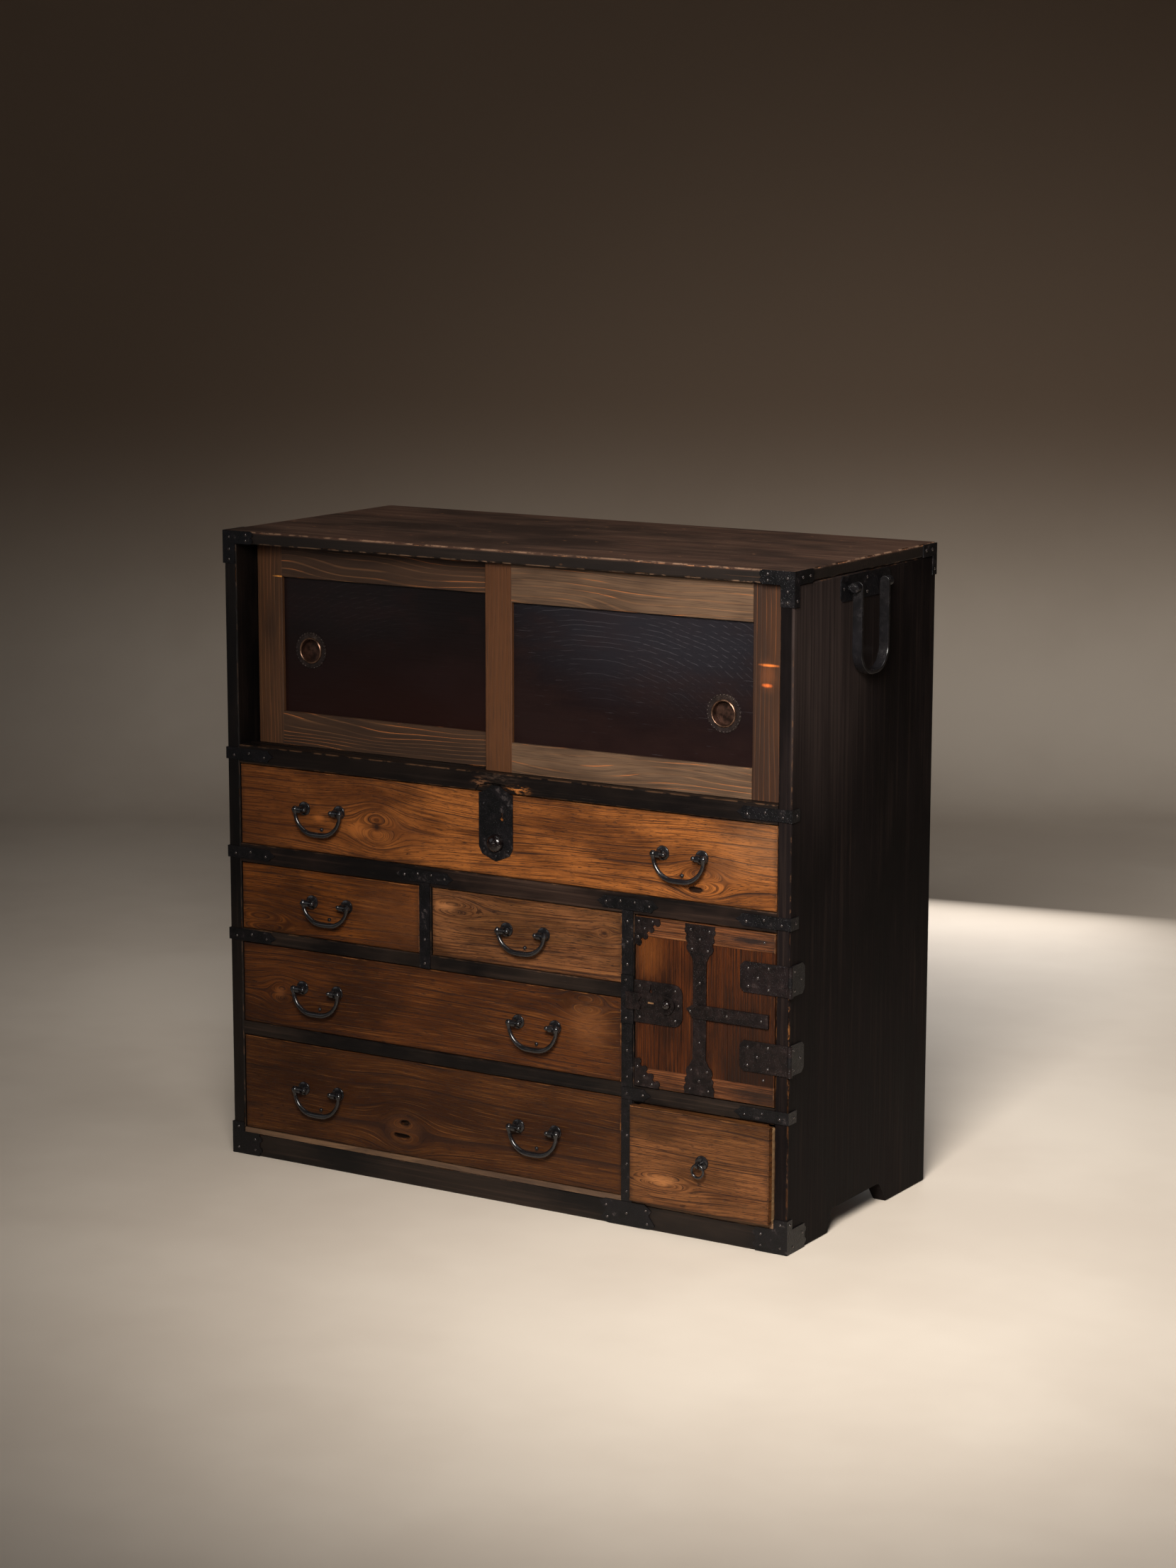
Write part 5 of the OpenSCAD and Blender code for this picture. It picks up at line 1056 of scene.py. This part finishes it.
bailShape = {"corner": 30, "bow": 1.5, "ball": 4.8, "grip": 3.9, "neck": 2.6, "swellFrom": 9,
             "armX": 37.9, "pin": 2.4, "bead": 3.4, "beadX": 22.3, "end": 1.6, "endRun": 0.6,
             "dent": 0.1, "dentSize": 0.09, "seed": 71}


def bailPath(drop):
    # the bar's middle line from its pivots: down an arm, round a corner, along the grip and up
    corner, arm = bailShape["corner"], bailShape["armX"]
    flat = arm - corner
    path = [(arm, bailShape["ball"] * (1 - k / 4)) for k in range(8)]
    path = [(x, z) for x, z in path if z > corner - drop]
    for k in range(1, 13):
        angle = math.radians(90 * k / 12)
        path.append((flat + corner * math.cos(angle), corner - drop - corner * math.sin(angle)))
    path += [(flat * (1 - k / 5), -drop) for k in range(1, 6)]
    path += [(-x, z) for x, z in reversed(path[:-1])]
    return [(x, z - bailShape["bow"] * (1 - (x / arm) ** 2) * (z < 0)) for x, z in path]


def barRadius(run, total):
    # a ball at each end of the bar, which then swells from its neck to its grip
    run = min(run, total - run)
    if run < bailShape["endRun"]:
        return bailShape["end"]
    swell = (run - bailShape["swellFrom"]) / (total / 2 - bailShape["swellFrom"])
    swell = min(1, max(0, swell))
    swell = swell * swell * (3 - 2 * swell)
    bar = bailShape["neck"] + (bailShape["grip"] - bailShape["neck"]) * swell
    if run >= 2 * bailShape["ball"]:
        return bar
    ball = bailShape["ball"] ** 2 - (run - bailShape["ball"]) ** 2
    return max(math.sqrt(max(ball, 0.3)), bar)


def bendBail(node, centre, depthY, pivotZ, path):
    # the bar as a curve of changing thickness, made a mesh
    runs = [0]
    for a, b in zip(path, path[1:]):
        runs.append(runs[-1] + math.dist(a, b))
    curve = bpy.data.curves.new(node + "_path", "CURVE")
    curve.dimensions = "3D"
    curve.bevel_depth = mm
    curve.bevel_resolution = 5
    curve.use_fill_caps = True
    line = curve.splines.new("POLY")
    line.points.add(len(path) - 1)
    for point, (x, z), run in zip(line.points, path, runs):
        point.radius = barRadius(run, runs[-1])
        point.co = ((centre + x) * mm, depthY * mm, (pivotZ + z) * mm, 1)
    bail = bpy.data.objects.new(node + "_forged", curve)
    bpy.context.scene.collection.objects.link(bail)
    choose(bail)
    bpy.ops.object.convert(target="MESH")
    bpy.ops.object.mode_set(mode="EDIT")
    bpy.ops.mesh.select_all(action="SELECT")
    bpy.ops.mesh.remove_doubles(threshold=0.02 * mm)
    bpy.ops.object.mode_set(mode="OBJECT")
    return bpy.context.object


def forgeBail(node):
    # a hanging handle: its bent bar, and the pins and beads that sit in the eyes
    low, high = boxOf(node)
    centre = (low[0] + high[0]) / 2
    depthY = (low[1] + high[1]) / 2
    pivotZ = high[2] - bailShape["ball"]
    path = bailPath(pivotZ - low[2] - bailShape["grip"] - bailShape["bow"])
    parts = [bendBail(node, centre, depthY, pivotZ, path)]
    inner, outer = bailShape["beadX"], bailShape["armX"]
    for side in (-1, 1):
        bpy.ops.mesh.primitive_cylinder_add(
            vertices=20, radius=bailShape["pin"] * mm, depth=(outer - inner) * mm,
            location=((centre + side * (outer + inner) / 2) * mm, depthY * mm, pivotZ * mm),
            rotation=(0, math.pi / 2, 0))
        parts.append(bpy.context.object)
        bpy.ops.mesh.primitive_uv_sphere_add(
            segments=20, ring_count=12, radius=bailShape["bead"] * mm,
            location=((centre + side * inner) * mm, depthY * mm, pivotZ * mm))
        parts.append(bpy.context.object)
    choose(*parts)
    bpy.ops.object.join()
    piece = bpy.context.object
    bpy.ops.object.transform_apply(location=True, rotation=True, scale=True)
    drift = Vector((len(node) + centre, 0, 0))
    for vert in piece.data.vertices:
        dent = noise.noise_vector(vert.co / mm * bailShape["dentSize"] + drift)
        vert.co += Vector(dent) * bailShape["dent"] * mm
    smooth(piece, 60)
    piece.data.materials.append(metals["bail_iron"])
    fit(piece, node)


# noise vectors start from the clock unless they are seeded
noise.seed_set(bailShape["seed"])
for node in sorted(frame["nodes"]):
    if "_bail" in node:
        forgeBail(node)


# the finger pulls: lengths, and the radii inside which a face belongs to the ring and the cup
pullShape = {"cup": 8, "washer": 1, "ringFrom": 19.2, "cupFrom": 15.8, "bevel": 0.25,
             "beads": 30, "beadRing": 24.2, "bead": 1.35}


def castPull(node, centre):
    # the pull's own mesh, its faces painted as washer, ring or cup by how far out they reach
    pull = benchCopy(node, node + "_cast")
    applyModifier(pull, "BEVEL", width=pullShape["bevel"] * mm, segments=2, limit_method="ANGLE",
                  angle_limit=math.radians(40))
    smooth(pull, 40)
    for finish in ("washer_metal", "bronze_ring", "bronze_cup"):
        pull.data.materials.append(metals[finish])
    for polygon in pull.data.polygons:
        away = max(math.hypot(pull.data.vertices[i].co.x / mm - centre.x,
                              pull.data.vertices[i].co.z / mm - centre.z)
                   for i in polygon.vertices)
        polygon.material_index = (away < pullShape["ringFrom"]) + (away < pullShape["cupFrom"])
    fit(pull, node)


def beadRim(node, name, centre):
    # the scalloped washer's rim of small beads
    beads = []
    for k in range(pullShape["beads"]):
        angle = 2 * math.pi * (k + 0.5) / pullShape["beads"]
        bpy.ops.mesh.primitive_ico_sphere_add(
            subdivisions=2, radius=pullShape["bead"] * mm,
            location=((centre.x + pullShape["beadRing"] * math.cos(angle)) * mm, centre.y * mm,
                      (centre.z + pullShape["beadRing"] * math.sin(angle)) * mm))
        beads.append(bpy.context.object)
    choose(*beads)
    bpy.ops.object.join()
    rim = bpy.context.object
    rim.name = name
    bpy.ops.object.transform_apply(location=True, rotation=True, scale=True)
    smooth(rim, 60)
    rim.data.materials.append(metals["washer_metal"])
    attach(rim, bodyOf[node])


for door in doors:
    low, high = boxOf(door + "_pull")
    # the middle of the washer's front
    centre = Vector(((low[0] + high[0]) / 2, high[1] - pullShape["cup"] - pullShape["washer"],
                     (low[2] + high[2]) / 2))
    castPull(door + "_pull", centre)
    beadRim(door + "_pull", door + "_pull_beads", centre)


print("stage")

# the camera as it stood for the photograph: degrees, metres, and a lens in mm
shot = {"azimuth": 31.81, "elevation": 10.40, "roll": -0.08, "distance": 4.5887,
        "target": (0.1453, -0.1855, 0.5944), "lens": 80.1}
lamps = {
    "key": {"place": (1.15, -2.1, 1.7), "aim": (0.6, -0.19, 0.5), "size": 0.9, "watts": 19,
            "colour": (1, 0.96, 0.9), "spread": 62},
    "left fill": {"place": (-2.4, -2.4, 1.4), "aim": (0, 0, 0.4), "size": 1.6, "watts": 5,
                  "colour": (0.97, 0.98, 1)},
    "overhead": {"place": (0.4, 0.1, 2.9), "aim": (0, 0, 0.3), "size": 1.6, "watts": 20,
                 "colour": (1, 0.98, 0.95)},
    "back fill": {"place": (-0.3, 1.9, 0.45), "aim": (0, 0.2, 0.45), "size": 0.7, "watts": 8,
                  "colour": (1, 0.98, 0.95)},
}
# the floor that bends up into the wall, in metres; its colour turns to the wall's between two
# heights in mm
sweepShape = {"size": 14, "middle": -4.6, "height": 7, "bend": 0.5, "bendSteps": 12,
              "floor": tone(214, 202, 188), "cloud": tone(202, 189, 175),
              "wall": tone(120, 101, 84), "wallFrom": (60, 900), "rough": 0.75}
daylight = {"colour": (0.9, 0.93, 1, 1), "strength": 0.16}


def setCamera():
    azimuth, elevation = math.radians(shot["azimuth"]), math.radians(shot["elevation"])
    back = Vector((math.sin(azimuth) * math.cos(elevation),
                   -math.cos(azimuth) * math.cos(elevation), math.sin(elevation)))
    data = bpy.data.cameras.new("camera")
    data.sensor_width = 36
    data.lens = shot["lens"]
    camera = bpy.data.objects.new("camera", data)
    bpy.context.scene.collection.objects.link(camera)
    turn = (-back).to_track_quat("-Z", "Y").to_matrix().to_4x4()
    roll = Matrix.Rotation(math.radians(-shot["roll"]), 4, "Z")
    camera.matrix_world = (Matrix.Translation(Vector(shot["target"]) + back * shot["distance"])
                           @ turn @ roll)
    bpy.context.scene.camera = camera


def setLamp(name, place, aim, size, watts, colour, spread=180):
    data = bpy.data.lights.new(name, "AREA")
    data.size = size
    data.energy = watts
    data.spread = math.radians(spread)
    data.color = colour
    lamp = bpy.data.objects.new(name, data)
    lamp.location = place
    lamp.rotation_euler = (Vector(aim) - Vector(place)).to_track_quat("-Z", "Y").to_euler()
    bpy.context.scene.collection.objects.link(lamp)


def setStage():
    # floor and wall in one sweep, square to the camera
    bpy.ops.mesh.primitive_plane_add(size=sweepShape["size"],
                                     location=(0, sweepShape["middle"], 0))
    sweep = bpy.context.object
    nearEdge = sweepShape["size"] / 2 - 0.1
    bpy.ops.object.mode_set(mode="EDIT")
    bpy.ops.mesh.select_mode(type="EDGE")
    mesh = bmesh.from_edit_mesh(sweep.data)
    for edge in mesh.edges:
        edge.select = all(vert.co.y > nearEdge for vert in edge.verts)
    bmesh.update_edit_mesh(sweep.data)
    bpy.ops.mesh.extrude_region_move(
        TRANSFORM_OT_translate={"value": (0, 0, sweepShape["height"])})
    mesh = bmesh.from_edit_mesh(sweep.data)
    for edge in mesh.edges:
        edge.select = all(vert.co.y > nearEdge and abs(vert.co.z) < 0.01 for vert in edge.verts)
    bmesh.update_edit_mesh(sweep.data)
    bpy.ops.mesh.bevel(offset=sweepShape["bend"], segments=sweepShape["bendSteps"],
                       clamp_overlap=False)
    bpy.ops.mesh.select_all(action="SELECT")
    mesh = bmesh.from_edit_mesh(sweep.data)
    mesh.normal_update()
    if any(face.normal.z < -0.5 for face in mesh.faces):
        bpy.ops.mesh.flip_normals()
    bpy.ops.object.mode_set(mode="OBJECT")
    sweep.rotation_euler.z = math.radians(shot["azimuth"])
    bpy.ops.object.transform_apply(location=True, rotation=True, scale=True)
    bpy.ops.object.shade_smooth_by_angle(angle=math.radians(40))
    sweep.name = "floor"
    paint = Paint("pale_floor", 3)
    cloud = paint.noise(paint.point, (0.0016,) * 3, 0, 4, 0.6)
    paint.colour = paint.mix(cloud.rise(0.3, 0.7), sweepShape["floor"], sweepShape["cloud"])
    paint.lay(paint.axis["z"].rise(*sweepShape["wallFrom"]), sweepShape["wall"])
    # seen from behind, the wall is clear, so that it hides nothing from a camera back there
    behind = paint.node("ShaderNodeNewGeometry", {}, {}, "Backfacing")
    sweep.data.materials.append(
        paint.finish(sweepShape["rough"], fixed={"Alpha": 1 - behind}))
    sweep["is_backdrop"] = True


setCamera()
for name, lamp in lamps.items():
    setLamp(name, **lamp)
setStage()
world = bpy.data.worlds.new("studio")
world.use_nodes = True
sky = world.node_tree.nodes["Background"]
sky.inputs["Color"].default_value = daylight["colour"]
sky.inputs["Strength"].default_value = daylight["strength"]
bpy.context.scene.world = world
bpy.context.scene.view_settings.view_transform = "Standard"

low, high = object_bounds()
print("finish")
